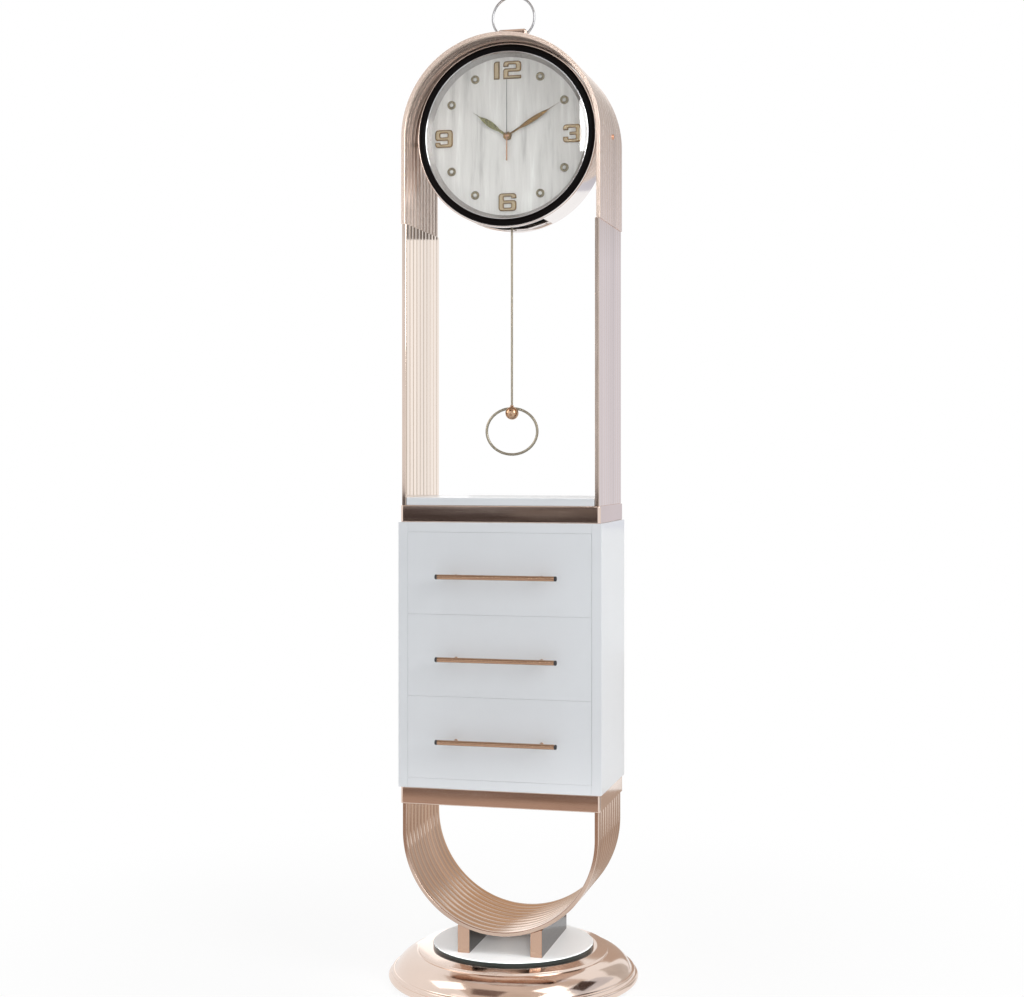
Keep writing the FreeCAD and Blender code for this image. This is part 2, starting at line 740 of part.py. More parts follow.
def build_head(arch):
    ledge_front = DIAL_BACK
    ledge_back = f"({DIAL_BACK} + ledge_thickness)"
    ledge_radius = f"({MOUTH_RADIUS} - ledge_width)"
    cover_front = "(drum_back - cover_thickness)"
    rest_front = f"({cover_front} - ledge_thickness)"
    rest_radius = f"({MOUTH_RADIUS} - ledge_width / 2)"
    drum = turned(
        [
            ("-drum_front", MOUTH_RADIUS),
            (ledge_front, MOUTH_RADIUS),
            (ledge_front, ledge_radius),
            (ledge_back, ledge_radius),
            (ledge_back, MOUTH_RADIUS),
            (rest_front, MOUTH_RADIUS),
            (rest_front, rest_radius),
            (cover_front, rest_radius),
            (cover_front, MOUTH_RADIUS),
            ("drum_back", MOUTH_RADIUS),
            ("drum_back", f"{DRUM_RADIUS} - rim_bevel"),
            ("drum_back - rim_bevel", DRUM_RADIUS),
            ("-drum_front + rim_bevel", DRUM_RADIUS),
            ("-drum_front", f"{DRUM_RADIUS} - rim_bevel"),
        ],
        "Y",
    )
    slot = block(
        ("-pendulum_slot_width / 2", "pendulum_slot_width / 2"),
        ("-drum_front + pendulum_slot_lip", f"{PENDULUM_Y} + pendulum_slot_behind"),
        (f"{HEAD} - {DRUM_RADIUS} - rim_bevel", f"{HEAD} - {ledge_radius} + drum_wall"),
    )
    screws = []
    spacers = []
    for side in SIDES.values():
        head_x = span(side, f"({ARCH_RADIUS} - side_screw_seat)", f"({ARCH_RADIUS} + side_screw_head)")
        shank_x = span(side, f"({MOUTH_RADIUS} - drum_wall)", ARCH_RADIUS)
        spacer_x = span(side, f"({DRUM_RADIUS} - drum_wall / 2)", f"({ARCH_INSIDE} + rib_height)")
        head = rod("X", "side_screw_head_radius", *head_x, (SCREW_Y, HEAD))
        shank = rod("X", "side_screw_radius", *shank_x, (SCREW_Y, HEAD))
        screws.append(fuse([head, shank]))
        spacers.append(rod("X", "spacer_radius", *spacer_x, (SCREW_Y, HEAD)))
    crown_z = (f"{HEAD} + {DRUM_RADIUS} - drum_wall / 2", f"{ARCH_CENTRE} + {ARCH_INSIDE} + rib_height")
    spacers.append(rod("Z", "spacer_radius", *crown_z, ("0", SCREW_Y)))
    place(drum, z=HEAD)
    head_screws = keep(group(screws), "head_screws")
    keep(cut(arch, head_screws), "arch_band")
    keep(cut(cut(cut(group(spacers), arch), drum), head_screws), "head_spacers")
    keep(cut(cut(drum, slot), head_screws), "head_drum")

    bezel = turned(
        [
            (GLASS_FRONT, BEZEL_LIP_RADIUS),
            (GLASS_FRONT, SKIRT_RADIUS),
            (DIAL_BACK, SKIRT_RADIUS),
            (DIAL_BACK, BEZEL_RADIUS),
            (f"{GLASS_FRONT} - bezel_proud + bezel_bevel", BEZEL_RADIUS),
            (f"{GLASS_FRONT} - bezel_proud", f"{BEZEL_RADIUS} - bezel_bevel"),
            (f"{GLASS_FRONT} - bezel_proud", f"{BEZEL_LIP_RADIUS} + bezel_bevel"),
            (f"{GLASS_FRONT} - bezel_proud + bezel_bevel", BEZEL_LIP_RADIUS),
        ],
        "Y",
    )
    keep(place(bezel, z=HEAD), "bezel_ring")
    keep(rod("Y", INSERT_RADIUS, GLASS_FRONT, GLASS_BACK, ("0", HEAD)), "glass_lens")
    rehaut = turned(
        [
            (GLASS_BACK, BEZEL_LIP_RADIUS),
            (DIAL_FRONT, REHAUT_DIAL_RADIUS),
            (DIAL_FRONT, INSERT_RADIUS),
            (GLASS_BACK, INSERT_RADIUS),
        ],
        "Y",
    )
    keep(place(rehaut, z=HEAD), "rehaut_ring")

    bush = rod("Y", "bush_radius", f"{DIAL_FRONT} - bush_reach", DIAL_BACK, ("0", HEAD))
    dial = rod("Y", INSERT_RADIUS, DIAL_FRONT, DIAL_BACK, ("0", HEAD))
    keep(cut(dial, bush), "dial_plate")

    cover = rod("Y", BEZEL_RADIUS, cover_front, "drum_back", ("0", HEAD))
    window = block(
        ("-cover_window_width / 2", "cover_window_width / 2"),
        (f"{cover_front} - cover_thickness", "drum_back + cover_thickness"),
        (f"{HEAD} - movement_below - (cover_window_height - movement_above - movement_below) / 2",
         f"{HEAD} + movement_above + (cover_window_height - movement_above - movement_below) / 2"),
    )
    keep(cut(cover, window), "drum_back_cover")
    build_dial_furniture()
    build_movement(bush)


def stroke_box(stroke, left, foot):
    """One bar of a block numeral whose lower left corner is given."""
    right = f"({left} + numeral_width)"
    top = f"({foot} + numeral_height)"
    low_middle = f"({foot} + (numeral_height - numeral_bar) / 2)"
    high_middle = f"({foot} + (numeral_height + numeral_bar) / 2)"
    columns = {"left": (left, f"{left} + numeral_stroke"), "right": (f"{right} - numeral_stroke", right)}
    halves = {"upper": (low_middle, top), "lower": (foot, high_middle)}
    bars = {
        "top": (f"{top} - numeral_bar", top),
        "middle": (low_middle, high_middle),
        "bottom": (foot, f"{foot} + numeral_bar"),
    }
    depth = (f"{DIAL_FRONT} - numeral_relief", DIAL_FRONT)
    if stroke == "stem":
        return block((left, f"{left} + numeral_stem"), depth, (foot, top))
    if stroke in bars:
        return block((left, right), depth, bars[stroke])
    side, half = stroke.split("_")
    return block(columns[side], depth, halves[half])


def build_dial_furniture():
    digits = []
    for hour, text in NUMERALS.items():
        turn = f"{hour * 30} deg"
        widths = ["numeral_stem" if digit == "1" else "numeral_width" for digit in text]
        foot = f"({HEAD} + {NUMERAL_CIRCLE} * cos({turn}) - numeral_height / 2)"
        left = f"({NUMERAL_CIRCLE} * sin({turn}) - ({' + numeral_gap + '.join(widths)}) / 2)"
        for digit, width in zip(text, widths):
            strokes = [stroke_box(stroke, left, foot) for stroke in STROKES[digit]]
            digits.append(fuse(strokes) if len(strokes) > 1 else strokes[0])
            left = f"({left} + {width} + numeral_gap)"
    keep(group(digits), "dial_numerals")

    settings = []
    stones = []
    for hour in GEM_HOURS:
        turn = f"{hour * 30} deg"
        spot = (f"{GEM_CIRCLE} * sin({turn})", f"{HEAD} + {GEM_CIRCLE} * cos({turn})")
        settings.append(rod("Y", "setting_radius", f"{DIAL_FRONT} - setting_height", DIAL_FRONT, spot))
        stone = doc.addObject("Part::Prism", "stone")
        stone.Polygon = GEM_SIDES
        stone.Placement = Placement(Vector(), Rotation(Vector(1, 0, 0), 90))
        bind(stone, "Circumradius", "gem_radius")
        bind(stone, "Height", "gem_height")
        stones.append(place(stone, spot[0], f"{DIAL_FRONT} - setting_height", spot[1]))
    keep(group(settings), "gem_settings")
    keep(group(stones), "gem_stones")


# Movement behind the dial, with the battery, the setting knob and the pin that the pendulum hangs from.


def build_movement(bush):
    case = block(
        ("-movement_width / 2", "movement_width / 2"),
        (DIAL_BACK, MOVEMENT_BACK),
        (f"{HEAD} - movement_below", f"{HEAD} + movement_above"),
    )
    battery_foot = f"({HEAD} - movement_below + battery_clearance + battery_radius)"
    battery_y = f"({MOVEMENT_BACK} - battery_radius)"
    reach = "(battery_radius + battery_clearance)"
    bay = block(
        (f"battery_offset - {reach}", f"battery_offset + {reach}"),
        (f"{battery_y} - battery_radius", MOVEMENT_BACK),
        (battery_foot, f"{battery_foot} + battery_length + battery_clearance"),
    )
    battery_z = (battery_foot, f"{battery_foot} + battery_length")
    keep(rod("Z", "battery_radius", *battery_z, ("battery_offset", battery_y)), "battery")

    knob_spot = ("-knob_offset", HEAD)
    stem_front = f"({MOVEMENT_BACK} - knob_stem_length)"
    knob_front = f"({MOVEMENT_BACK} + knob_gap)"
    knob = rod("Y", "knob_radius", knob_front, f"{knob_front} + knob_height", knob_spot)
    stem = rod("Y", "knob_stem_radius", stem_front, knob_front, knob_spot)
    keep(fuse([knob, stem]), "setting_knob")
    stem_hole = rod(
        "Y",
        "knob_stem_radius + running_clearance",
        f"{stem_front} - knob_gap",
        MOVEMENT_BACK,
        knob_spot,
    )

    pin_back = f"({PENDULUM_Y} + hanger_thickness)"
    pin = rod("Y", "pivot_radius", MOVEMENT_BACK, pin_back, ("0", PIVOT))
    pin_head = rod("Y", "pivot_head_radius", pin_back, f"{pin_back} + pivot_head", ("0", PIVOT))
    bore_end = f"({DIAL_BACK} + movement_depth / 2)"
    bore = rod(
        "Y",
        "hour_tube_radius + running_clearance",
        f"{DIAL_FRONT} - bush_reach - hand_gap",
        bore_end,
        ("0", HEAD),
    )
    solid = fuse([case, bush, pin, pin_head])
    keep(cut(solid, group([bay, stem_hole, bore])), "movement_case")

    corners = []
    for index in range(HEX_SIDES):
        turn = f"{index * 360 / HEX_SIDES + 15} deg"
        corners.append((f"nut_radius * cos({turn})", f"nut_radius * sin({turn})"))
    nut = padded("XZ_Plane", corners, "nut_height", f"-{DIAL_FRONT}")
    keep(cut(place(nut, z=HEAD), bush), "movement_nut")


# Hands: each blade is one outline, padded and fused to the tube or pin that it turns on.


def leaf_blade(length, width, back, angle):
    """A leaf-shaped blade with a narrow neck and a long point, standing at its clock angle."""
    neck = f"({width} / 5)"
    point = f"({width} / 14)"
    shoulder = f"({length} * 0.24)"
    waist = f"({length} * 0.78)"
    sweep = f"(({waist} - {shoulder}) ^ 2 / (4 * {width}) + {width} / 4)"
    corners = [
        (f"-{neck}", "-hub_radius / 2"),
        (neck, "-hub_radius / 2"),
        (neck, shoulder, sweep),
        (point, waist),
        ("0", length),
        (f"-{point}", waist, sweep),
        (f"-{neck}", shoulder),
    ]
    blade = padded("XZ_Plane", corners, "hand_thickness", f"-{back}")
    return turn_to(blade, angle)


def turn_to(thing, angle):
    thing.Placement = Placement(Vector(), Rotation(Vector(0, 1, 0), 1))
    bind(thing, "Placement.Rotation.Angle", angle)
    return place(thing, z=HEAD)


def build_hands():
    bore_end = f"({DIAL_BACK} + movement_depth / 2)"
    tube_end = f"({bore_end} - hand_gap)"
    layers = (
        ("hour", HOUR_LENGTH, "hour_tube_radius", "minute_tube_radius", HOUR_BACK),
        ("minute", MINUTE_LENGTH, "minute_tube_radius", "second_pin_radius", MINUTE_BACK),
    )
    for name, length, outside, inside, back in layers:
        front = f"({back} - hand_thickness)"
        blade = leaf_blade(length, f"{name}_width", back, f"{name}_angle")
        hub = rod("Y", "hub_radius", front, back, ("0", HEAD))
        tube = rod("Y", outside, back, tube_end, ("0", HEAD))
        hole_y = (f"{front} - hand_gap", f"{tube_end} + hand_gap")
        hole = rod("Y", f"{inside} + running_clearance", *hole_y, ("0", HEAD))
        keep(cut(fuse([blade, hub, tube]), hole), f"{name}_hand")

    half = "(second_width / 2)"
    tail_half = "(second_tail_width / 2)"
    needle = padded(
        "XZ_Plane",
        [
            (f"-{tail_half}", "-second_tail"),
            (tail_half, "-second_tail"),
            (half, "0"),
            (f"{half} / 2", SECOND_LENGTH),
            (f"-{half} / 2", SECOND_LENGTH),
            (f"-{half}", "0"),
        ],
        "hand_thickness",
        f"-{SECOND_BACK}",
    )
    cap = rod("Y", "hub_radius / 2", f"{SECOND_BACK} - hand_thickness", SECOND_BACK, ("0", HEAD))
    pin = rod("Y", "second_pin_radius", SECOND_BACK, tube_end, ("0", HEAD))
    keep(fuse([place(needle, z=HEAD), cap, pin]), "second_hand")


# Pendulum: hanger on its pin, rod, ball and the oval ring below.


def build_pendulum():
    hanger_foot = f"({PIVOT} - hanger_length)"
    half_thick = "(hanger_thickness / 2)"
    plate_y = (f"{PENDULUM_Y} - {half_thick}", f"{PENDULUM_Y} + {half_thick}")
    plate = block(("-hanger_width / 2", "hanger_width / 2"), plate_y, (hanger_foot, PIVOT))
    crown = rod("Y", "hanger_width / 2", *plate_y, ("0", PIVOT))
    socket = rod("Z", "socket_radius", f"{hanger_foot} - socket_length", hanger_foot, ("0", PENDULUM_Y))
    eye = rod(
        "Y",
        "pivot_radius + running_clearance",
        f"{plate_y[0]} - {half_thick}",
        f"{plate_y[1]} + {half_thick}",
        ("0", PIVOT),
    )
    rod_foot = f"({hanger_foot} - rod_length)"
    stick = rod("Z", "rod_radius", rod_foot, hanger_foot, ("0", PENDULUM_Y))
    keep(cut(cut(fuse([plate, crown, socket]), eye), stick), "pendulum_hanger")
    keep(stick, "pendulum_rod")

    ball_centre = f"({rod_foot} + ball_socket - ball_radius)"
    corners = []
    for index in range(BALL_SIDES // 2 + 1):
        turn = f"{index * 360 / BALL_SIDES - 90} deg"
        reach = "0" if index in (0, BALL_SIDES // 2) else f"ball_radius * cos({turn})"
        corners.append((reach, f"ball_radius * sin({turn})"))
    ball = place(turned(corners, "Z"), "0", PENDULUM_Y, ball_centre)

    # The ring runs through the upper part of the ball, which hangs inside it.
    spine_half = "(ring_height / 2 - ring_wire_radius)"
    ring_centre = f"({ball_centre} + ball_radius - ring_top_gap - ring_wire_radius - {spine_half})"
    spine = doc.addObject("Part::Ellipse", "spine")
    spine.Placement = Placement(Vector(), Rotation(Vector(1, 0, 0), 90))
    bind(spine, "MajorRadius", "ring_width / 2 - ring_wire_radius")
    bind(spine, "MinorRadius", spine_half)
    place(spine, "0", PENDULUM_Y, ring_centre)
    section = doc.addObject("Part::RegularPolygon", "section")
    section.Polygon = WIRE_SIDES
    bind(section, "Circumradius", "ring_wire_radius")
    place(section, "ring_width / 2 - ring_wire_radius", PENDULUM_Y, ring_centre)
    ring = doc.addObject("Part::Sweep", "ring")
    ring.Sections = [section]
    ring.Spine = (spine, ["Edge1"])
    ring.Solid = True
    keep(cut(cut(ball, stick), ring), "pendulum_ball")
    keep(ring, "pendulum_ring")


# Ring on top of the arch, held upright by a short neck.


def build_bow():
    half_x = "(neck_width / 2)"
    half_y = "(neck_depth / 2)"
    sink = f"({ARCH_RADIUS} - sqrt({ARCH_RADIUS} ^ 2 - {half_x} ^ 2) + neck_bevel)"
    foot = f"({ARCH_TOP} - {sink})"
    neck = eased_slab(half_x, half_y, foot, f"neck_height + {sink}", "neck_bevel", "Chamfer", "Size")
    saddle = rod("Y", ARCH_RADIUS, f"-{BAND_DEPTH} / 2", f"{BAND_DEPTH} / 2", ("0", ARCH_CENTRE))
    corners = []
    for index in range(WIRE_SIDES):
        turn = f"{index * 360 / WIRE_SIDES} deg"
        corners.append((f"bow_wire_radius * sin({turn})", f"bow_radius + bow_wire_radius * cos({turn})"))
    bow = place(turned(corners, "Y"), z=f"{ARCH_TOP} + bow_seat + bow_radius")
    keep(cut(cut(neck, saddle), bow), "ring_mount")
    keep(bow, "carry_ring")


def check_document():
    """Stop if any object failed or any sub-part is empty or not valid."""
    for thing in doc.Objects:
        if {"Invalid", "Error"} & set(thing.State):
            raise RuntimeError(f"{thing.Label}: {thing.State}")
    for thing in subparts:
        if thing.Shape.isNull() or not thing.Shape.isValid() or not thing.Shape.Solids:
            raise RuntimeError(f"{thing.Label}: no valid solid")


def main():
    build_base()
    build_head(build_frame())
    build_cabinet()
    build_drawers()
    build_hands()
    build_pendulum()
    build_bow()
    doc.recompute()
    check_document()
    os.makedirs("parts", exist_ok=True)
    for thing in subparts:
        thing.Shape.exportStep(os.path.join("parts", f"{thing.Label}.step"))
    print(len(subparts), "sub-parts written")


main()
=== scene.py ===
import math

import bmesh
import bpy
from mathutils import Matrix, Vector


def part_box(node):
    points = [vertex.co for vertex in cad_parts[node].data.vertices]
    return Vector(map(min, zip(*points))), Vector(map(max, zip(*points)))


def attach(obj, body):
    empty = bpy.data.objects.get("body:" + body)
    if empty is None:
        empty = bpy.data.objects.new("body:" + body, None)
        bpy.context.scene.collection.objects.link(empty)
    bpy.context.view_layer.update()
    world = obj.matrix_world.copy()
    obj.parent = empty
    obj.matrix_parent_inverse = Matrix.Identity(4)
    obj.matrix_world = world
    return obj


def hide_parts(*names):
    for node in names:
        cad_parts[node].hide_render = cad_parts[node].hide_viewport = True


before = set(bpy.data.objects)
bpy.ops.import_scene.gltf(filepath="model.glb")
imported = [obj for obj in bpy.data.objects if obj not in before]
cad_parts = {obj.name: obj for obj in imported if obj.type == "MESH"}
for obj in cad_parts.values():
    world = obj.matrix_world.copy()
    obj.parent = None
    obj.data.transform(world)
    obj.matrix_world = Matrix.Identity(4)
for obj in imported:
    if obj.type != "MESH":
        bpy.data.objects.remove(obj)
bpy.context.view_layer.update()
scene = bpy.context.scene

# Sizes are written in millimetres and turned into metres where vertices are made.
MM = 0.001

# A distance below this counts as none.
WELD = 1e-6

# A face looks along an axis where its normal's share of it is above this.
FACING = 0.95


def span(node, axis):
    """Where a CAD node starts and ends along an axis, to a tenth of a millimetre."""
    return [round(corner["XYZ".index(axis)] / MM, 1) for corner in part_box(node)]


def middle(node, axis):
    """The middle of a CAD node along an axis."""
    return sum(span(node, axis)) / 2


# Reeded bands: hoop, legs and arch.
RIB_COUNT = 10
RIB_STEPS = 10
RIB_FULLNESS = 2.6
CREST_HALF = 4.3
END_EASE = 0.5
BAND_HALF_DEPTH = span("arch_band", "Y")[1]
HOOP_FOOT, HOOP_TOP = span("lower_loop", "Z")
HOOP_HALF = span("lower_loop", "X")[1]
LEG_FOOT, LEG_TOP = span("leg_right", "Z")
LEG_OUTSIDE = span("leg_right", "X")[1]
ARCH_FOOT, ARCH_TOP = span("arch_band", "Z")
ARCH_HALF = span("arch_band", "X")[1]

# Base and mirror plate. The dome's ends are (radius, height).
BASE_RADIUS = span("base_shell", "X")[1]
BASE_FOOT, BASE_TOP = span("base_shell", "Z")
SHELL_WALL = 4
RIM_RADIUS = 6
BEAD_BULGE = 3
DOME_BULGE = 6
DOME_FOOT = (221, 23)
DOME_TOP = (179, 54)
PLATE_RADIUS = span("mirror_disc", "X")[1]
PLATE_FOOT, PLATE_TOP = span("mirror_disc", "Z")

# Feet, with painted shade on each face that looks sideways by more than this share.
SIDE_SHADE_SHARE = 0.5

# Trims and drawers.
TRIM_CORNER = 5
TRIM_EDGE = 1.6
FRONT_REACH = 0.7
HANDLE_HALF = span("upper_handle_bar", "X")[1]
HANDLE_RADIUS = 4.6
GROOVE_RADIUS = 4.2
CAP_LENGTH = 4.5
POST_RADIUS = 2.8
POST_X = 80
POST_END = -134

# Clock head.
HEAD_Z = middle("head_drum", "Z")
HEAD_CENTRE = (0, 0, HEAD_Z)
DRUM_RADIUS = span("head_drum", "X")[1]
DRUM_FRONT, DRUM_BACK = span("head_drum", "Y")
DRUM_WALL = 3
LEDGE_DEPTH = 4
COVER_INSIDE = span("drum_back_cover", "Y")[0]
BEZEL_OUTSIDE = span("bezel_ring", "X")[1]
BEZEL_INSIDE = 155
BEZEL_FRONT, BEZEL_BACK = span("bezel_ring", "Y")
BEZEL_SWELL = 4
GLASS_RADIUS = span("glass_lens", "X")[1]
GLASS_FRONT = span("glass_lens", "Y")[0]
DIAL_FACE, DIAL_BACK = span("dial_plate", "Y")
TUBE_END = span("hour_hand", "Y")[1]
FITTING_Y = middle("head_screws", "Y")
SCREW_END = span("head_screws", "X")[1]
HOUR_TURN = math.radians(30)

# Carrying ring and pendulum.
CARRY_RADIUS = 40
CARRY_WIRE = 2.2
CARRY_Z = 1796
PENDULUM_Y = middle("pendulum_rod", "Y")
BOB_FOOT = span("pendulum_ball", "Z")[0]
BOB_RADIUS = 12.5
OVAL_HALF_X = 48.5
OVAL_HALF_Z = 43
OVAL_WIRE = 2.5
OVAL_Z = 1022

# Sides of the round pieces.
BASE_STEPS = 160
HEAD_STEPS = 192
HUB_STEPS = 48
HANDLE_STEPS = 40
SCREW_STEPS = 32


# Node helpers for the finishes. Most of a noise lies between its low and high mark.

NOISE_MARKS = (0.3, 0.7)
CLOUD_SCALE = 9.0
CLOUD_SHADE = 0.94
STREAK_SHADE = 0.80
BUMP_DEPTH = 0.0001


def new_material(name, **sockets):
    """A node material whose shader starts from the given socket values."""
    material = bpy.data.materials.new(name)
    material.use_nodes = True
    tree = material.node_tree
    shader = tree.nodes["Principled BSDF"]
    for socket, value in sockets.items():
        shader.inputs[socket.replace("_", " ")].default_value = value
    return material, tree, shader


def object_coords(tree, scale=(1, 1, 1)):
    """Places on the object; a scale below 1 draws a pattern out along its axis."""
    coords = tree.nodes.new("ShaderNodeTexCoord")
    mapping = tree.nodes.new("ShaderNodeMapping")
    mapping.inputs["Scale"].default_value = scale
    tree.links.new(coords.outputs["Object"], mapping.inputs["Vector"])
    return mapping.outputs["Vector"]


def noise(tree, vector, scale, detail=4.0, roughness=0.55):
    node = tree.nodes.new("ShaderNodeTexNoise")
    node.inputs["Scale"].default_value = scale
    node.inputs["Detail"].default_value = detail
    node.inputs["Roughness"].default_value = roughness
    tree.links.new(vector, node.inputs["Vector"])
    return node.outputs["Fac"]


def spread(tree, value, low, high, socket):
    """Lead a noise to a socket as a range of values."""
    node = tree.nodes.new("ShaderNodeMapRange")
    for name, number in zip(("From Min", "From Max", "To Min", "To Max"), (*NOISE_MARKS, low, high)):
        node.inputs[name].default_value = number
    tree.links.new(value, node.inputs["Value"])
    tree.links.new(node.outputs["Result"], socket)


def tint(tree, value, colours, socket, stops=NOISE_MARKS):
    """Lead a noise to a colour socket as a run of colours."""
    ramp = tree.nodes.new("ShaderNodeValToRGB")
    elements = ramp.color_ramp.elements
    while len(elements) < len(colours):
        elements.new(0.5)
    for index, colour in enumerate(colours):
        elements[index].position = stops[0] + (stops[1] - stops[0]) * index / (len(colours) - 1)
        elements[index].color = (*colour, 1)
    tree.links.new(value, ramp.inputs["Fac"])
    tree.links.new(ramp.outputs["Color"], socket)


def bump(tree, shader, height, strength, distance=BUMP_DEPTH):
    node = tree.nodes.new("ShaderNodeBump")
    node.inputs["Strength"].default_value = strength
    node.inputs["Distance"].default_value = distance
    tree.links.new(height, node.inputs["Height"])
    tree.links.new(node.outputs["Normal"], shader.inputs["Normal"])


def shaded(colour, share):
    return tuple(channel * share for channel in colour)


def finish(name, colour, roughness, metallic, grain, grain_scale, relief, **sockets):
    """A finish with cloudy colour, uneven gloss and a fine grain."""
    material, tree, shader = new_material(name, Metallic=metallic, **sockets)
    clouds = noise(tree, object_coords(tree), CLOUD_SCALE)
    marks = noise(tree, object_coords(tree, grain), grain_scale, 3.0)
    tint(tree, clouds, (shaded(colour, CLOUD_SHADE), colour), shader.inputs["Base Color"])
    spread(tree, marks, *roughness, shader.inputs["Roughness"])
    bump(tree, shader, marks, relief)
    return material


# Finishes: name, colour, range of roughness, metallic, stretch of the grain, its scale and relief.
EVEN = (1, 1, 1)
ROSE = (0.82, 0.665, 0.575)
ROSE_GOLD = finish("rose_gold", ROSE, (0.05, 0.11), 1.0, (1, 1, 0.1), 260.0, 0.02)
# Painted shade: a near-black copy of the rose metal for the sideways faces of the feet.
SIDE_SHADE_ROSE = finish("side_shade_rose", (0.065, 0.058, 0.056), (0.10, 0.18), 1.0, (1, 0.1, 1), 260.0, 0.03)
DRUM_SILVER = finish("drum_silver", (0.88, 0.83, 0.81), (0.06, 0.12), 1.0, (0.1, 1, 0.1), 300.0, 0.03)
REHAUT_GREY = finish("rehaut_grey", (0.42, 0.40, 0.39), (0.26, 0.36), 0.8, (1, 6, 1), 200.0, 0.06)
CHROME = finish("chrome", (0.62, 0.62, 0.63), (0.06, 0.12), 1.0, EVEN, 500.0, 0.03)
RING_STEEL = finish("ring_steel", (0.42, 0.42, 0.43), (0.20, 0.28), 1.0, EVEN, 200.0, 0.01)
TRIM_ROSE = finish("trim_rose", ROSE, (0.06, 0.10), 1.0, (0.05, 0.05, 1), 120.0, 0.004)
BASE_ROSE = finish("base_rose", ROSE, (0.09, 0.15), 1.0, (1, 1, 0.1), 260.0, 0.01)
# Painted shade: the front faces of the feet take a darker copy of the rose metal.
SHADED_FOOT_ROSE = finish("shaded_foot_rose", (0.58, 0.39, 0.29), (0.10, 0.16), 1.0, (1, 1, 0.1), 260.0, 0.02)
STEEL = finish("steel", (0.50, 0.51, 0.53), (0.25, 0.38), 1.0, (1, 0.06, 1), 700.0, 0.08)
COPPER = finish("copper", (0.74, 0.40, 0.26), (0.12, 0.20), 1.0, EVEN, 500.0, 0.04)
HANDLE_COPPER = finish("handle_copper", (0.48, 0.31, 0.21), (0.18, 0.24), 1.0, (0.06, 1, 1), 300.0, 0.02)
HANDLE_CAP = finish("handle_cap", (0.05, 0.05, 0.055), (0.22, 0.32), 0.6, EVEN, 600.0, 0.05)
GOLD = finish("gold", (0.24, 0.135, 0.04), (0.20, 0.30), 1.0, EVEN, 700.0, 0.03)
GOLD_FACE = finish("gold_face", (0.25, 0.155, 0.06), (0.28, 0.38), 1.0, (1, 1, 0.05), 900.0, 0.05)
# Painted highlight: a pale copy of the gold for the raised inner front faces of the numerals.
PAINTED_HIGHLIGHT_GOLD = finish("painted_highlight_gold", (0.50, 0.40, 0.26), (0.28, 0.38), 1.0, (1, 1, 0.05), 900.0, 0.05)
WIRE_GREY = finish("wire_grey", (0.36, 0.335, 0.27), (0.26, 0.34), 1.0, (1, 1, 0.02), 300.0, 0.01)
BOB_GOLD = finish("bob_gold", (0.54, 0.36, 0.24), (0.05, 0.09), 1.0, EVEN, 120.0, 0.005)
MARKER_GOLD = finish("marker_gold", (0.25, 0.21, 0.135), (0.20, 0.28), 1.0, EVEN, 700.0, 0.03)
HOUR_GOLD = finish("hour_gold", (0.22, 0.21, 0.10), (0.24, 0.30), 1.0, (1, 1, 0.05), 300.0, 0.01)
NEEDLE_GREY = finish("needle_grey", (0.07, 0.068, 0.065), (0.35, 0.45), 0.6, (1, 1, 0.05), 300.0, 0.01)
NEEDLE_COPPER = finish("needle_copper", (0.46, 0.27, 0.18), (0.18, 0.26), 1.0, (1, 1, 0.05), 300.0, 0.01)
IRON = finish("iron", (0.05, 0.05, 0.055), (0.55, 0.75), 0.3, EVEN, 260.0, 0.35)
RUBBER = finish("rubber", (0.025, 0.025, 0.026), (0.75, 0.9), 0.0, EVEN, 900.0, 0.3)
BLACK_GLOSS = finish("black_gloss", (0.004, 0.0028, 0.0028), (0.10, 0.16), 0.0, EVEN, 300.0, 0.02,
                     Specular_IOR_Level=0.06)
BLACK_PLASTIC = finish("black_plastic", (0.03, 0.03, 0.032), (0.45, 0.6), 0.0, EVEN, 1500.0, 0.25)
BATTERY_WRAP = finish("battery_wrap", (0.06, 0.09, 0.13), (0.3, 0.4), 0.2, (1, 1, 0.2), 500.0, 0.05)
DRAWER_BOARD = finish("drawer_board", (0.66, 0.65, 0.61), (0.38, 0.5), 0.0, (1, 0.05, 1), 500.0, 0.12)


def reeded_rose(name, colour, valley, share, gloss, metal=1.0):
    """Polished rose metal, streaked along the reeds, with a share of a darker tone painted into their
    valleys as shade.
    """
    material, tree, shader = new_material(name, Metallic=metal)
    streaks = noise(tree, object_coords(tree, (0.3, 1, 0.03)), 20.0, 3.0)
    marks = noise(tree, object_coords(tree, (1, 1, 0.1)), 260.0, 3.0)
    split = tree.nodes.new("ShaderNodeSeparateXYZ")
    tree.links.new(object_coords(tree), split.inputs["Vector"])
    value = split.outputs["Y"]
    reeds_per_metre = RIB_COUNT / (2 * BAND_HALF_DEPTH * MM)
    valley_shade_sharpness = 9
    # Painted shade: a mask that is 1 in each reed valley and 0 on the crests, scaled by the share of the
    # darker tone.
    steps = (
        ("MULTIPLY_ADD", reeds_per_metre, RIB_COUNT / 2),
        ("FRACT",),
        ("MULTIPLY_ADD", 2, -1),
        ("ABSOLUTE",),
        ("POWER", valley_shade_sharpness),
        ("MULTIPLY", share),
    )
    for operation, *numbers in steps:
        node = tree.nodes.new("ShaderNodeMath")
        node.operation = operation
        tree.links.new(value, node.inputs[0])
        for place, number in enumerate(numbers, start=1):
            node.inputs[place].default_value = number
        value = node.outputs["Value"]
    mix = tree.nodes.new("ShaderNodeMixRGB")
    mix.inputs["Color2"].default_value = (*valley, 1)
    tree.links.new(value, mix.inputs["Fac"])
    tint(tree, streaks, (shaded(colour, STREAK_SHADE), colour), mix.inputs["Color1"])
    tree.links.new(mix.outputs["Color"], shader.inputs["Base Color"])
    spread(tree, marks, *gloss, shader.inputs["Roughness"])
    bump(tree, shader, marks, 0.02)
    return material


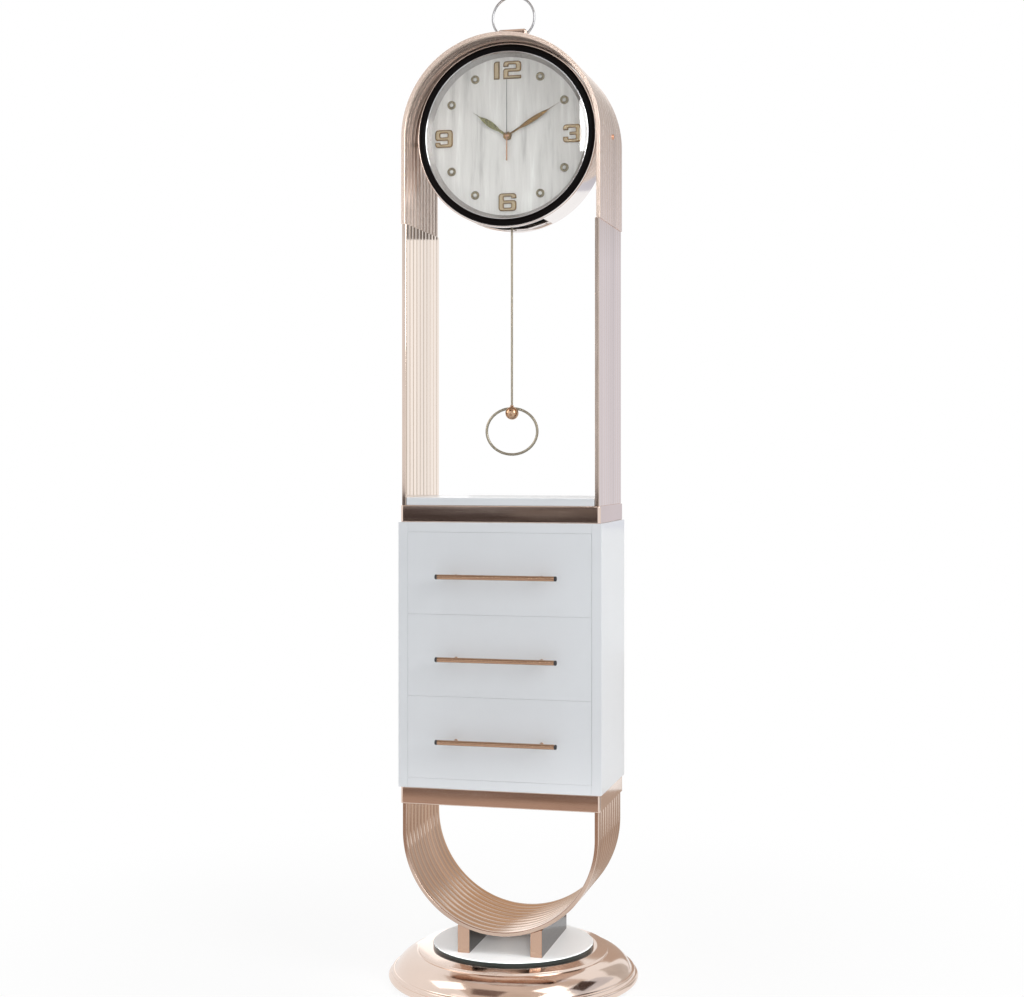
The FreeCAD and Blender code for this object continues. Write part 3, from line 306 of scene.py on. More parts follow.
def lacquer():
    """White paint with a faint level grain under a soft clear coat."""
    material, tree, shader = new_material("white_lacquer", Coat_Weight=0.35, Coat_Roughness=0.06)
    clouds = noise(tree, object_coords(tree), 3.5)
    grain = noise(tree, object_coords(tree, (0.03, 0.03, 1)), 420.0, 3.0)
    peel = noise(tree, object_coords(tree), 700.0, 2.0)
    tint(tree, clouds, ((0.71, 0.735, 0.765), (0.745, 0.77, 0.80)), shader.inputs["Base Color"])
    spread(tree, grain, 0.28, 0.32, shader.inputs["Roughness"])
    bump(tree, shader, peel, 0.012)
    return material


def dial_silver():
    """Silver leaf with soft streaks from top to bottom."""
    material, tree, shader = new_material("dial_silver", Metallic=0.25)
    streaks = noise(tree, object_coords(tree, (1, 1, 0.09)), 62.0, 5.0, 0.6)
    fine = noise(tree, object_coords(tree, (1, 1, 0.03)), 420.0, 3.0)
    colours = ((0.53, 0.52, 0.505), (0.71, 0.70, 0.68), (0.78, 0.77, 0.75), (0.94, 0.945, 0.92))
    tint(tree, streaks, colours, shader.inputs["Base Color"])
    spread(tree, streaks, 0.30, 0.48, shader.inputs["Roughness"])
    bump(tree, shader, fine, 0.10, 2 * BUMP_DEPTH)
    return material


def mirror_plate():
    """Pale glass with faint smears."""
    material, tree, shader = new_material("mirror_glass", IOR=1.52, Specular_IOR_Level=0.2)
    clouds = noise(tree, object_coords(tree), 7.0)
    smears = noise(tree, object_coords(tree, (1, 0.3, 1)), 40.0)
    tint(tree, clouds, ((0.88, 0.89, 0.895), (0.91, 0.92, 0.925)), shader.inputs["Base Color"])
    spread(tree, smears, 0.38, 0.46, shader.inputs["Roughness"])
    return material


def clear_glass():
    """Clean glass with a trace of green."""
    material, tree, shader = new_material("clear_glass", Transmission_Weight=1.0, IOR=1.45)
    clouds = noise(tree, object_coords(tree), 20.0)
    tint(tree, clouds, ((0.97, 0.985, 0.98), (0.985, 0.995, 0.99)), shader.inputs["Base Color"])
    spread(tree, clouds, 0.0, 0.012, shader.inputs["Roughness"])
    return material


def cut_stone():
    """A pale stone that lets some light through."""
    material, tree, shader = new_material("gem", Transmission_Weight=0.35, IOR=1.7)
    clouds = noise(tree, object_coords(tree), 180.0)
    tint(tree, clouds, ((0.80, 0.80, 0.78), (0.95, 0.95, 0.94)), shader.inputs["Base Color"])
    spread(tree, clouds, 0.02, 0.06, shader.inputs["Roughness"])
    return material


# Painted light and shade: the legs and arch take lighter copies, and the hoop a darker copy, of the same
# rose metal.
LIT_LEG_ROSE = reeded_rose("lit_leg_rose", (0.96, 0.82, 0.715), (0.70, 0.57, 0.49), 0.10, (0.05, 0.11))
LIT_ARCH_ROSE = reeded_rose("lit_arch_rose", (0.90, 0.74, 0.64), (0.66, 0.52, 0.44), 0.20, (0.20, 0.28), 0.7)
SHADED_HOOP_ROSE = reeded_rose("shaded_hoop_rose", (0.72, 0.55, 0.45), (0.48, 0.35, 0.28), 0.30, (0.08, 0.14))
WHITE_LACQUER = lacquer()
DIAL_SILVER = dial_silver()
MIRROR_GLASS = mirror_plate()
GLASS_EDGE = finish("glass_edge", (0.008, 0.014, 0.013), (0.06, 0.12), 0.0, EVEN, 300.0, 0.02,
                    Coat_Weight=0.15, Coat_Roughness=0.03)
CLEAR_GLASS = clear_glass()
GEM = cut_stone()


# Mesh helpers. A shape is gathered in a bmesh and handed over as one piece.


def mesh_object(name, bm, materials=()):
    """Turn a finished shape into an object of the scene."""
    mesh = bpy.data.meshes.new(name)
    bm.to_mesh(mesh)
    bm.free()
    for material in materials:
        mesh.materials.append(material)
    thing = bpy.data.objects.new(name, mesh)
    scene.collection.objects.link(thing)
    return thing


def add_piece(name, bm, materials, body, nodes, sharp=32.0, ease=0.0, flat=False):
    """One visual piece: ease rounds its edges, flat keeps large faces flat beside rounded edges."""
    bmesh.ops.recalc_face_normals(bm, faces=bm.faces)
    piece = mesh_object(name, bm, materials)
    piece.data.shade_smooth()
    piece.data.set_sharp_from_angle(angle=math.radians(sharp))
    if ease:
        bevel = piece.modifiers.new("ease", "BEVEL")
        bevel.width = ease * MM
        bevel.segments = 3
        bevel.limit_method = "ANGLE"
        bevel.angle_limit = math.radians(40)
        bevel.harden_normals = True
    if flat:
        weigh = piece.modifiers.new("flat", "WEIGHTED_NORMAL")
        weigh.weight = 100
    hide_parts(*nodes)
    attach(piece, body)


def point(axis, radius, turn, height, centre):
    """A point at a radius and turn about an axis through the centre."""
    across, up = radius * math.cos(turn), radius * math.sin(turn)
    spots = {"X": (height, across, up), "Y": (across, height, up), "Z": (across, up, height)}
    return (Vector(spots[axis]) + Vector(centre)) * MM


def lathe(bm, profile, axis, centre=(0, 0, 0), steps=96, index=0, closed=True):
    """Turn a profile of (radius, height) points about an axis."""
    rings = []
    for radius, height in profile:
        count = steps if radius > WELD else 1
        turns = [math.tau * k / steps for k in range(count)]
        rings.append([bm.verts.new(point(axis, radius, turn, height, centre)) for turn in turns])
    pairs = list(zip(rings, rings[1:]))
    if closed:
        pairs.append((rings[-1], rings[0]))
    for low, high in pairs:
        for k in range(steps):
            corners = []
            for ring, spot in ((low, k), (low, k + 1), (high, k + 1), (high, k)):
                vert = ring[spot % len(ring)]
                if vert not in corners:
                    corners.append(vert)
            if len(corners) > 2:
                bm.faces.new(corners).material_index = index


def arc(centre_r, centre_h, radius_r, radius_h, start, end, steps):
    """Profile points along part of an ellipse, angles in degrees."""
    points = []
    for k in range(steps + 1):
        turn = math.radians(start + (end - start) * k / steps)
        points.append((centre_r + radius_r * math.cos(turn), centre_h + radius_h * math.sin(turn)))
    return points


def swell(start, end, bulge, steps):
    """Profile points of a convex stretch between two points."""
    points = []
    run, rise = end[0] - start[0], end[1] - start[1]
    chord = math.hypot(run, rise)
    for k in range(steps + 1):
        part = k / steps
        lift = 4 * bulge * part * (1 - part) / chord
        points.append((start[0] + run * part + rise * lift, start[1] + rise * part - run * lift))
    return points


def wire_loop(bm, half_x, half_z, radius, centre, steps=128, sides=14):
    """A closed wire that follows an upright ellipse."""
    rings = []
    for k in range(steps):
        turn = math.tau * k / steps
        spot = Vector((half_x * math.cos(turn), 0, half_z * math.sin(turn)))
        outward = Vector((half_z * math.cos(turn), 0, half_x * math.sin(turn))).normalized()
        ring = []
        for j in range(sides):
            angle = math.tau * j / sides
            offset = outward * math.cos(angle) + Vector((0, 1, 0)) * math.sin(angle)
            ring.append(bm.verts.new((spot + offset * radius + Vector(centre)) * MM))
        rings.append(ring)
    for k in range(steps):
        low, high = rings[k], rings[(k + 1) % steps]
        for j in range(sides):
            after = (j + 1) % sides
            bm.faces.new((low[j], low[after], high[after], high[j]))


def box_shape(low, high):
    """A box between its lowest and highest corners."""
    bm = bmesh.new()
    bmesh.ops.create_cube(bm, size=1.0)
    for vert in bm.verts:
        vert.co = Vector([(a + b) / 2 + c * (b - a) for a, b, c in zip(low, high, vert.co)]) * MM
    return bm


def trim_bar(low, high, corner, edge):
    """A flat bar with round upright corners and finely eased level edges."""
    bm = box_shape(low, high)
    upright = [line for line in bm.edges if abs(line.verts[0].co.z - line.verts[1].co.z) > WELD]
    bmesh.ops.bevel(bm, geom=upright, offset=corner * MM, segments=8, profile=0.5, affect="EDGES")
    level = [line for line in bm.edges if line.calc_face_angle(0) > math.radians(85)]
    bmesh.ops.bevel(bm, geom=level, offset=edge * MM, segments=4, profile=0.5, affect="EDGES")
    return bm


def node_shape(node):
    """A clean copy of a CAD node's mesh, with flat faces joined again."""
    bm = bmesh.new()
    bm.from_mesh(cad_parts[node].data)
    bmesh.ops.remove_doubles(bm, verts=bm.verts, dist=WELD)
    bmesh.ops.dissolve_limit(bm, angle_limit=math.radians(0.5), verts=bm.verts, edges=bm.edges)
    for face in bm.faces:
        face.material_index = 0
    return bm


# Reeded bands.


def reed_samples(relief):
    """(y, half thickness) across a band: round reeds that meet in sharp valleys, with eased edges."""
    pitch = 2 * BAND_HALF_DEPTH / RIB_COUNT
    valley = CREST_HALF - relief
    samples = [(-BAND_HALF_DEPTH, valley - END_EASE)]
    for rib in range(RIB_COUNT):
        for step in range(RIB_STEPS):
            part = step / RIB_STEPS
            y = -BAND_HALF_DEPTH + pitch * (rib + part)
            height = relief * (1 - abs(2 * part - 1) ** RIB_FULLNESS)
            samples.append((max(y, -BAND_HALF_DEPTH + END_EASE), valley + height))
    samples.append((BAND_HALF_DEPTH - END_EASE, valley))
    samples.append((BAND_HALF_DEPTH, valley - END_EASE))
    return samples


def band(bm, path, relief):
    """Sweep the reeds along a path of (x, z, outward x, outward z)."""
    samples = reed_samples(relief)
    count = len(samples)
    rings = []
    for place, (x, z, out_x, out_z) in enumerate(path):
        thin = END_EASE if place in (0, len(path) - 1) else 0.0
        ring = []
        for side, row in ((1, samples), (-1, samples[::-1])):
            for y, half in row:
                reach = side * (half - thin)
                ring.append(bm.verts.new(Vector((x + out_x * reach, y, z + out_z * reach)) * MM))
        rings.append(ring)
    total = 2 * count
    for low, high in zip(rings, rings[1:]):
        for k in range(total):
            after = (k + 1) % total
            bm.faces.new((low[k], low[after], high[after], high[k]))
    for ring in (rings[0], rings[-1]):
        for k in range(count - 1):
            bm.faces.new((ring[k], ring[k + 1], ring[total - 2 - k], ring[total - 1 - k]))


def bend_path(radius, centre_z, end_z, opening, steps=96):
    """A U-shaped path; opening 1 has its ends above the bend, -1 below."""
    path = [(-radius, end_z, -1, 0), (-radius, end_z - opening * END_EASE, -1, 0)]
    for k in range(steps + 1):
        turn = math.pi * k / steps
        out_x, out_z = -math.cos(turn), -opening * math.sin(turn)
        path.append((radius * out_x, centre_z + radius * out_z, out_x, out_z))
    path += [(radius, end_z - opening * END_EASE, 1, 0), (radius, end_z, 1, 0)]
    return path


def leg_path(x, low, high):
    """An upright path that faces away from the middle."""
    out = math.copysign(1, x)
    return [(x, z, out, 0) for z in (low, low + END_EASE, (low + high) / 2, high - END_EASE, high)]


def build_bands():
    leg_x = LEG_OUTSIDE - CREST_HALF
    hoop = bend_path(HOOP_HALF - CREST_HALF, HOOP_FOOT + HOOP_HALF, HOOP_TOP, 1)
    arch = bend_path(ARCH_HALF - CREST_HALF, ARCH_TOP - ARCH_HALF, ARCH_FOOT, -1)
    # Each row: name, node, path, height of the reeds, finish.
    bands = (
        ("hoop_band", "lower_loop", hoop, 1.1, SHADED_HOOP_ROSE),
        ("left_leg_band", "leg_left", leg_path(-leg_x, LEG_FOOT, LEG_TOP), 0.6, LIT_LEG_ROSE),
        ("right_leg_band", "leg_right", leg_path(leg_x, LEG_FOOT, LEG_TOP), 0.6, LIT_LEG_ROSE),
        ("arch_reeds", "arch_band", arch, 0.9, LIT_ARCH_ROSE),
    )
    for name, node, path, relief, metal in bands:
        bm = bmesh.new()
        band(bm, path, relief)
        add_piece(name, bm, [metal], "case", [node], sharp=30)


# Round base, mirror plate, feet and trims.


def build_base():
    bm = bmesh.new()
    ceiling = BASE_TOP - SHELL_WALL
    inside = [(0, ceiling), (154, ceiling), (173, 50), (213, 21), (223, 8.3), (223, BASE_FOOT)]
    rim_r, rim_z = BASE_RADIUS - RIM_RADIUS, BASE_FOOT + RIM_RADIUS
    rim = arc(rim_r, rim_z, RIM_RADIUS, RIM_RADIUS, -90, 88, 20)
    bead = swell((rim_r, rim_z + RIM_RADIUS), DOME_FOOT, BEAD_BULGE, 12)
    dome = swell(DOME_FOOT, DOME_TOP, DOME_BULGE, 24)
    step = [(178.2, 54.0), (177.4, 54.3), (177, 55), (177, 58.2), (176.4, 58.9)]
    top = [(158, BASE_TOP - 0.1), (156, BASE_TOP), (0, BASE_TOP)]
    lathe(bm, inside + rim + bead[1:] + dome[1:] + step + top, "Z", steps=BASE_STEPS)
    add_piece("spun_base", bm, [BASE_ROSE], "case", ["base_shell"], sharp=28, flat=True)

    bm = bmesh.new()
    bevel = (PLATE_RADIUS - 0.8, PLATE_TOP - 1.4)
    plate_face = [(0, PLATE_TOP), (PLATE_RADIUS - 2.4, PLATE_TOP), bevel]
    plate_edge = [bevel, (PLATE_RADIUS - 0.2, PLATE_TOP - 2.2), (PLATE_RADIUS, PLATE_TOP - 3),
                  (PLATE_RADIUS, PLATE_FOOT + 0.5), (PLATE_RADIUS - 0.5, PLATE_FOOT), (0, PLATE_FOOT)]
    for index, profile in enumerate((plate_face, plate_edge)):
        lathe(bm, profile, "Z", steps=BASE_STEPS, index=index, closed=False)
    bmesh.ops.remove_doubles(bm, verts=bm.verts, dist=WELD)
    add_piece("mirror_plate", bm, [MIRROR_GLASS, GLASS_EDGE], "case",
              ["mirror_disc"], sharp=12)

    for side in ("left", "right"):
        bm = node_shape(f"foot_bar_{side}")
        for face in bm.faces:
            # Painted shade: faces that look sideways take the near-black copy of the rose metal.
            face.material_index = 1 if abs(face.normal.x) > SIDE_SHADE_SHARE else 0
        add_piece(f"{side}_foot", bm, [SHADED_FOOT_ROSE, SIDE_SHADE_ROSE], "case",
                  [f"foot_bar_{side}"], ease=0.8)

    for name, node in (("lower_trim", "bottom_trim"), ("upper_trim", "top_trim")):
        low, high = zip(*(span(node, axis) for axis in "XYZ"))
        bm = trim_bar(low, high, TRIM_CORNER, TRIM_EDGE)
        add_piece(name, bm, [TRIM_ROSE], "case", [node], sharp=60, flat=True)


# Cabinet and drawers.


def build_cabinet():
    for board in ("side_left", "side_right", "bottom", "top", "back"):
        node = f"cabinet_{board}"
        add_piece(f"board_{board}", node_shape(node), [WHITE_LACQUER], "case", [node],
                  ease=0.9)
    add_piece("shelf_top", node_shape("shelf_board"), [WHITE_LACQUER], "case",
              ["shelf_board"], ease=1.2)


def widen(bm, centre, reach):
    """Move the sides of a box away from its centre by a reach along each axis."""
    for vert in bm.verts:
        for axis in range(3):
            vert.co[axis] += math.copysign(reach[axis] * MM, vert.co[axis] - centre[axis] * MM)


def handle_profile():
    """Half of a round bar: a grip with a fine groove, and a rounded cap with a dished end."""
    wide, narrow, end = HANDLE_RADIUS, GROOVE_RADIUS, HANDLE_HALF
    seam = end - CAP_LENGTH
    grip = [(wide, 0), (wide, seam - 0.9), (narrow, seam - 0.5), (narrow, seam)]
    cap = [(narrow, seam), (wide, seam + 0.4), (wide, end - 1.2), (narrow, end - 0.4), (3.5, end)]
    dish = [(2.6, end), (2.3, end - 0.5), (0, end - 0.5)]
    return grip, cap + dish


def mirrored(profile, side):
    """A profile as it is, or turned to the other side."""
    return [(radius, side * distance) for radius, distance in profile]


def build_drawers():
    for name in ("upper", "middle", "lower"):
        body = f"{name}_drawer"
        node = f"{name}_drawer_front"
        front = node_shape(node)
        widen(front, (0, 0, middle(node, "Z")), (FRONT_REACH, 0, FRONT_REACH))
        add_piece(f"{name}_front_board", front, [WHITE_LACQUER], body, [node], ease=0.4)
        face = span(node, "Y")[0]

        node = f"{name}_drawer_box"
        add_piece(f"{name}_tray", node_shape(node), [DRAWER_BOARD], body, [node])

        node = f"{name}_handle_bar"
        height = middle(node, "Z")
        centre = (0, middle(node, "Y"), height)
        bm = bmesh.new()
        for side in (-1, 1):
            for index, profile in enumerate(handle_profile()):
                lathe(bm, mirrored(profile, side), "X", centre, HANDLE_STEPS, index, closed=False)
        bmesh.ops.remove_doubles(bm, verts=bm.verts, dist=WELD)
        add_piece(f"{name}_pull", bm, [HANDLE_COPPER, HANDLE_CAP], body, [node])

        bm = bmesh.new()
        foot = [(0, face), (3.6, face), (3.6, face - 0.8), (3.2, face - 1.2), (POST_RADIUS, face - 1.8)]
        post = foot + [(POST_RADIUS, POST_END), (0, POST_END)]
        for side in (-1, 1):
            lathe(bm, post, "Y", (side * POST_X, 0, height), SCREW_STEPS, closed=False)
        add_piece(f"{name}_pull_posts", bm, [HANDLE_COPPER], body,
                  [f"{name}_handle_posts"])


# Clock head. Each corner of a digit is (x, y, rounding).

DIGIT_WIDTH = 34.0
ONE_WIDTH = 11.0
DIGIT_HEIGHT = 33.0
DIGIT_GAP = 7.0
DIGITS = {
    "1": [[(0, 0, 1), (11, 0, 1), (11, 33, 1), (3, 33, 2), (0, 30, 2)]],
    "2": [[(0, 0, 1), (34, 0, 1), (34, 6.5, 1), (10, 6.5, 1), (10, 13, 1), (34, 13, 5), (34, 33, 7),
           (0, 33, 7), (0, 22.5, 1), (10, 22.5, 1), (10, 26.5, 1), (24, 26.5, 2), (24, 19.5, 2),
           (0, 19.5, 5)]],
    "3": [[(0, 0, 7), (34, 0, 7), (34, 16, 3), (34, 33, 7), (0, 33, 7), (0, 22.5, 1), (10, 22.5, 1),
           (10, 26.5, 1), (24, 26.5, 2), (24, 19.5, 2), (12, 19.5, 1), (12, 13.5, 1), (24, 13.5, 2),
           (24, 6.5, 2), (10, 6.5, 1), (10, 10.5, 1), (0, 10.5, 1)]],
    "6": [[(0, 0, 7), (34, 0, 7), (34, 20, 6), (10, 20, 1), (10, 26.5, 2), (24, 26.5, 1), (24, 23, 1),
           (34, 23, 1), (34, 33, 7), (0, 33, 7)],
          [(10, 6.5, 2), (24, 6.5, 2), (24, 13.5, 2), (10, 13.5, 2)]],
}
DIGITS["9"] = [[(DIGIT_WIDTH - x, DIGIT_HEIGHT - y, r) for x, y, r in outline] for outline in DIGITS["6"]]
NUMERAL_CIRCLE = 122.0
NUMERAL_RELIEF = 2.0
NUMERAL_BEVEL = 0.95
NUMERAL_BORDER = 1.3
NUMERAL_RISE = 0.12
MARKER_CIRCLE = 124
STONE_SIDES = 8
STRAIGHT = 0.999
SLOT_LOW = (-69, -50, HEAD_Z - 171)
SLOT_HIGH = (69, -5, HEAD_Z - 147)


def rounded_outline(corners, steps=5):
    """Points of a closed outline whose corners carry their own rounding."""
    points = []
    for index, (x, y, radius) in enumerate(corners):
        here = Vector((x, y))
        back = (Vector(corners[index - 1][:2]) - here).normalized()
        ahead = (Vector(corners[(index + 1) % len(corners)][:2]) - here).normalized()
        if abs(back.dot(ahead)) > STRAIGHT:
            points.append(here)
            continue
        start, end = here + back * radius, here + ahead * radius
        for k in range(steps + 1):
            part = k / steps
            points.append(start * (1 - part) ** 2 + here * 2 * part * (1 - part) + end * part ** 2)
    return points


def digit_mesh(digit, inset):
    """A bevelled digit, drawn in by an inset, in the XY plane, its lower left corner at the origin."""
    curve = bpy.data.curves.new(f"digit_{digit}", "CURVE")
    curve.dimensions = "2D"
    curve.fill_mode = "BOTH"
    curve.extrude = (NUMERAL_RELIEF / 2 - NUMERAL_BEVEL) * MM
    curve.bevel_depth = NUMERAL_BEVEL * MM
    curve.bevel_resolution = 1
    curve.offset = -(NUMERAL_BEVEL + inset) * MM
    for outline in DIGITS[digit]:
        points = rounded_outline(outline)
        spline = curve.splines.new("POLY")
        spline.points.add(len(points) - 1)
        for spot, place in zip(spline.points, points):
            spot.co = (place.x * MM, place.y * MM, 0, 1)
        spline.use_cyclic_u = True
    holder = bpy.data.objects.new(f"digit_{digit}", curve)
    scene.collection.objects.link(holder)
    bpy.context.view_layer.update()
    depsgraph = bpy.context.evaluated_depsgraph_get()
    mesh = bpy.data.meshes.new_from_object(holder.evaluated_get(depsgraph))
    bpy.data.objects.remove(holder)
    bpy.data.curves.remove(curve)
    return mesh


def build_numerals():
    bm = bmesh.new()
    stand = Matrix.Rotation(math.pi / 2, 4, "X")
    # Painted light: on the front, the first layer takes the gold face and the raised inner second layer a
    # pale gold as a painted highlight; bevels and sides take the darker plain gold as painted shade.
    layers = ((1, 0.0, 0.0), (2, NUMERAL_BORDER, NUMERAL_RISE))
    for hour in (12, 3, 6, 9):
        turn = hour * HOUR_TURN
        text = str(hour)
        widths = [ONE_WIDTH if digit == "1" else DIGIT_WIDTH for digit in text]
        left = NUMERAL_CIRCLE * math.sin(turn) - (sum(widths) + DIGIT_GAP * (len(text) - 1)) / 2
        foot = HEAD_Z + NUMERAL_CIRCLE * math.cos(turn) - DIGIT_HEIGHT / 2
        for digit, width in zip(text, widths):
            for index, inset, rise in layers:
                mesh = digit_mesh(digit, inset)
                spot = Vector((left, DIAL_FACE - NUMERAL_RELIEF / 2 - rise, foot)) * MM
                mesh.transform(Matrix.Translation(spot) @ stand)
                known = len(bm.faces)
                bm.from_mesh(mesh)
                bpy.data.meshes.remove(mesh)
                bm.normal_update()
                bm.faces.ensure_lookup_table()
                for face in bm.faces[known:]:
                    face.material_index = index if face.normal.y < -FACING else 0
            left += width + DIGIT_GAP
    bmesh.ops.remove_doubles(bm, verts=bm.verts, dist=WELD)
    add_piece("numerals", bm, [GOLD, GOLD_FACE, PAINTED_HIGHLIGHT_GOLD], "case", ["dial_numerals"], sharp=20)


def build_markers():
    settings = bmesh.new()
    stones = bmesh.new()
    rim = arc(5.9, DIAL_FACE - 1.0, 2.1, 0.9, 0, -180, 8)
    floor = [(3.7, DIAL_FACE - 0.9), (0, DIAL_FACE - 0.9), (0, DIAL_FACE)]
    levels = ((3.4, 0.8, 0.0), (3.7, 1.6, 0.0), (3.1, 2.6, 0.5), (2.0, 3.2, 0.0))
    for hour in (1, 2, 4, 5, 7, 8, 10, 11):
        turn = hour * HOUR_TURN
        spot = (MARKER_CIRCLE * math.sin(turn), 0, HEAD_Z + MARKER_CIRCLE * math.cos(turn))
        lathe(settings, [(8, DIAL_FACE)] + rim + floor, "Y", spot, steps=40)
        rings = []
        for radius, rise, shift in levels:
            ring = []
            for k in range(STONE_SIDES):
                angle = math.tau * (k + shift) / STONE_SIDES
                ring.append(stones.verts.new(point("Y", radius, angle, DIAL_FACE - rise, spot)))
            rings.append(ring)
        foot, girdle, crown, table = rings
        stones.faces.new(foot)
        stones.faces.new(table)
        for k in range(STONE_SIDES):
            after = (k + 1) % STONE_SIDES
            stones.faces.new((foot[k], foot[after], girdle[after], girdle[k]))
            stones.faces.new((girdle[k], girdle[after], crown[k]))
            stones.faces.new((girdle[after], crown[after], crown[k]))
            stones.faces.new((crown[k], crown[after], table[after]))
            stones.faces.new((crown[k], table[after], table[k]))
    add_piece("marker_settings", settings, [MARKER_GOLD], "case", ["gem_settings"])
    add_piece("marker_stones", stones, [GEM], "case", ["gem_stones"], sharp=5)


def cut_box(bm, low, high):
    """Cut a box out of a closed shape and hand back the shape that is left."""
    solids = []
    for name, shape in (("whole", bm), ("box", box_shape(low, high))):
        bmesh.ops.recalc_face_normals(shape, faces=shape.faces)
        solids.append(mesh_object(name, shape))
    whole, box = solids
    boolean = whole.modifiers.new("cut", "BOOLEAN")
    boolean.operation = "DIFFERENCE"
    boolean.solver = "EXACT"
    boolean.object = box
    bpy.context.view_layer.update()
    rest = bmesh.new()
    rest.from_mesh(whole.evaluated_get(bpy.context.evaluated_depsgraph_get()).data)
    for solid in solids:
        mesh = solid.data
        bpy.data.objects.remove(solid)
        bpy.data.meshes.remove(mesh)
    return rest


def ledge(wall, reach, low, high):
    """Profile points of a ledge that stands in from a wall."""
    return [(wall, high), (reach, high), (reach, low), (wall, low)]


def build_drum():
    bm = bmesh.new()
    inside = DRUM_RADIUS - DRUM_WALL
    edge_round = 1.4
    lip = arc(inside, DRUM_FRONT + DRUM_WALL, DRUM_WALL, DRUM_WALL, -90, 0, 10)
    back = arc(DRUM_RADIUS - edge_round, DRUM_BACK - edge_round, edge_round, edge_round, 0, 90, 4)
    cover_ledge = ledge(inside, 158.5, COVER_INSIDE - LEDGE_DEPTH, COVER_INSIDE)
    dial_ledge = ledge(inside, 150, DIAL_BACK, DIAL_BACK + LEDGE_DEPTH)
    profile = lip + back + [(inside, DRUM_BACK)] + cover_ledge + dial_ledge
    lathe(bm, profile, "Y", HEAD_CENTRE, HEAD_STEPS)
    bm = cut_box(bm, SLOT_LOW, SLOT_HIGH)
    add_piece("drum_shell", bm, [DRUM_SILVER], "case", ["head_drum"], sharp=28, flat=True)


def build_bezel():
    bm = bmesh.new()
    centre, half = (BEZEL_OUTSIDE + BEZEL_INSIDE) / 2, (BEZEL_OUTSIDE - BEZEL_INSIDE) / 2
    front = []
    for k in range(21):
        turn = math.pi * k / 20
        rise = BEZEL_SWELL * (1 - math.sin(turn) ** 0.8)
        front.append((centre - half * math.cos(turn), BEZEL_FRONT + rise))
    seat = GLASS_RADIUS + 0.3
    back = [(BEZEL_OUTSIDE, BEZEL_BACK), (seat, BEZEL_BACK),
            (seat, GLASS_FRONT), (BEZEL_INSIDE, GLASS_FRONT)]
    bead = arc(BEZEL_INSIDE - 1, GLASS_FRONT - 0.6, 1.2, 1.2, 0, 324, 9)
    for index, profile in enumerate((front + back, bead)):
        lathe(bm, profile, "Y", HEAD_CENTRE, HEAD_STEPS, index)
    add_piece("bezel", bm, [BLACK_GLOSS, CHROME], "case", ["bezel_ring"])


LEAF_NECK = 0.24
LEAF_TIP = 0.78
LEAF_POINTS = 40
POINT_HALF = 0.12
EDGE_RISE = 0.25
BLADE_RISE = 0.8
NEEDLE_RISE = 0.7


def leaf_width(part, width):
    """Half width of a leaf-shaped hand at a share of its length."""
    neck, tip = width / 5, width / 14
    if part < LEAF_NECK:
        return neck
    if part < LEAF_TIP:
        along = (part - LEAF_NECK) / (LEAF_TIP - LEAF_NECK)
        return neck + (tip - neck) * along + (width / 2 - (neck + tip) / 2) * 4 * along * (1 - along)
    return max(tip * (1 - part) / (1 - LEAF_TIP), POINT_HALF)


def blade(bm, stations, back, front, angle, index=0):
    """A ridged blade from (distance, half width) stations, turned to its clock angle."""
    turn = Matrix.Rotation(math.radians(angle), 4, "Y")
    rings = []
    edge = back - EDGE_RISE
    for distance, half in stations:
        corners = ((-half, back), (-half, edge), (0, front), (half, edge), (half, back))
        spots = [turn @ Vector((x, y, distance)) + Vector(HEAD_CENTRE) for x, y in corners]
        rings.append([bm.verts.new(spot * MM) for spot in spots])
    for low, high in zip(rings, rings[1:]):
        for k in range(len(low)):
            after = (k + 1) % len(low)
            bm.faces.new((low[k], low[after], high[after], high[k])).material_index = index
    for end in (rings[0], rings[-1]):
        bm.faces.new(end).material_index = index


def build_hands():
    # Each row: body, name, finish, length, width, back, clock angle, outside and inside of the tube.
    hands = (
        ("hour", "hour_blade", HOUR_GOLD, 82.0, 11.0, -47.5, -55.0, 3.4, 2.48),
        ("minute", "minute_blade", GOLD, 117.0, 9.0, -49.2, 60.0, 2.4, 1.28),
    )
    for body, name, material, length, width, back, angle, outside, inside in hands:
        bm = bmesh.new()
        front = back - BLADE_RISE
        parts = [k / LEAF_POINTS for k in range(2, LEAF_POINTS + 1)]
        blade(bm, [(length * part, leaf_width(part, width)) for part in parts], back, front, angle)
        hub = [(inside, front), (6.2, front), (6.8, front + 0.2), (7, front + 0.5), (7, back)]
        tube = [(outside, back), (outside, TUBE_END), (inside, TUBE_END)]
        lathe(bm, hub + tube, "Y", HEAD_CENTRE, HUB_STEPS, index=1)
        add_piece(name, bm, [material, GOLD], body, [f"{body}_hand"])

    bm = bmesh.new()
    back = -50.9
    front = back - NEEDLE_RISE
    blade(bm, [(0, 0.8), (60, 0.6), (104, 0.4)], back, front, angle=0, index=0)
    blade(bm, [(0, 0.9), (20, 1.3), (46, 1.5)], back, front, angle=180, index=1)
    cap = [(0, back - 1.2), (1.6, back - 1.1), (2.9, front), (3.5, back - 0.2), (3.5, back)]
    tube = [(1.2, back), (1.2, TUBE_END), (0, TUBE_END)]
    lathe(bm, cap + tube, "Y", HEAD_CENTRE, steps=40, index=1)
    add_piece("second_needle", bm, [NEEDLE_GREY, NEEDLE_COPPER], "second", ["second_hand"])


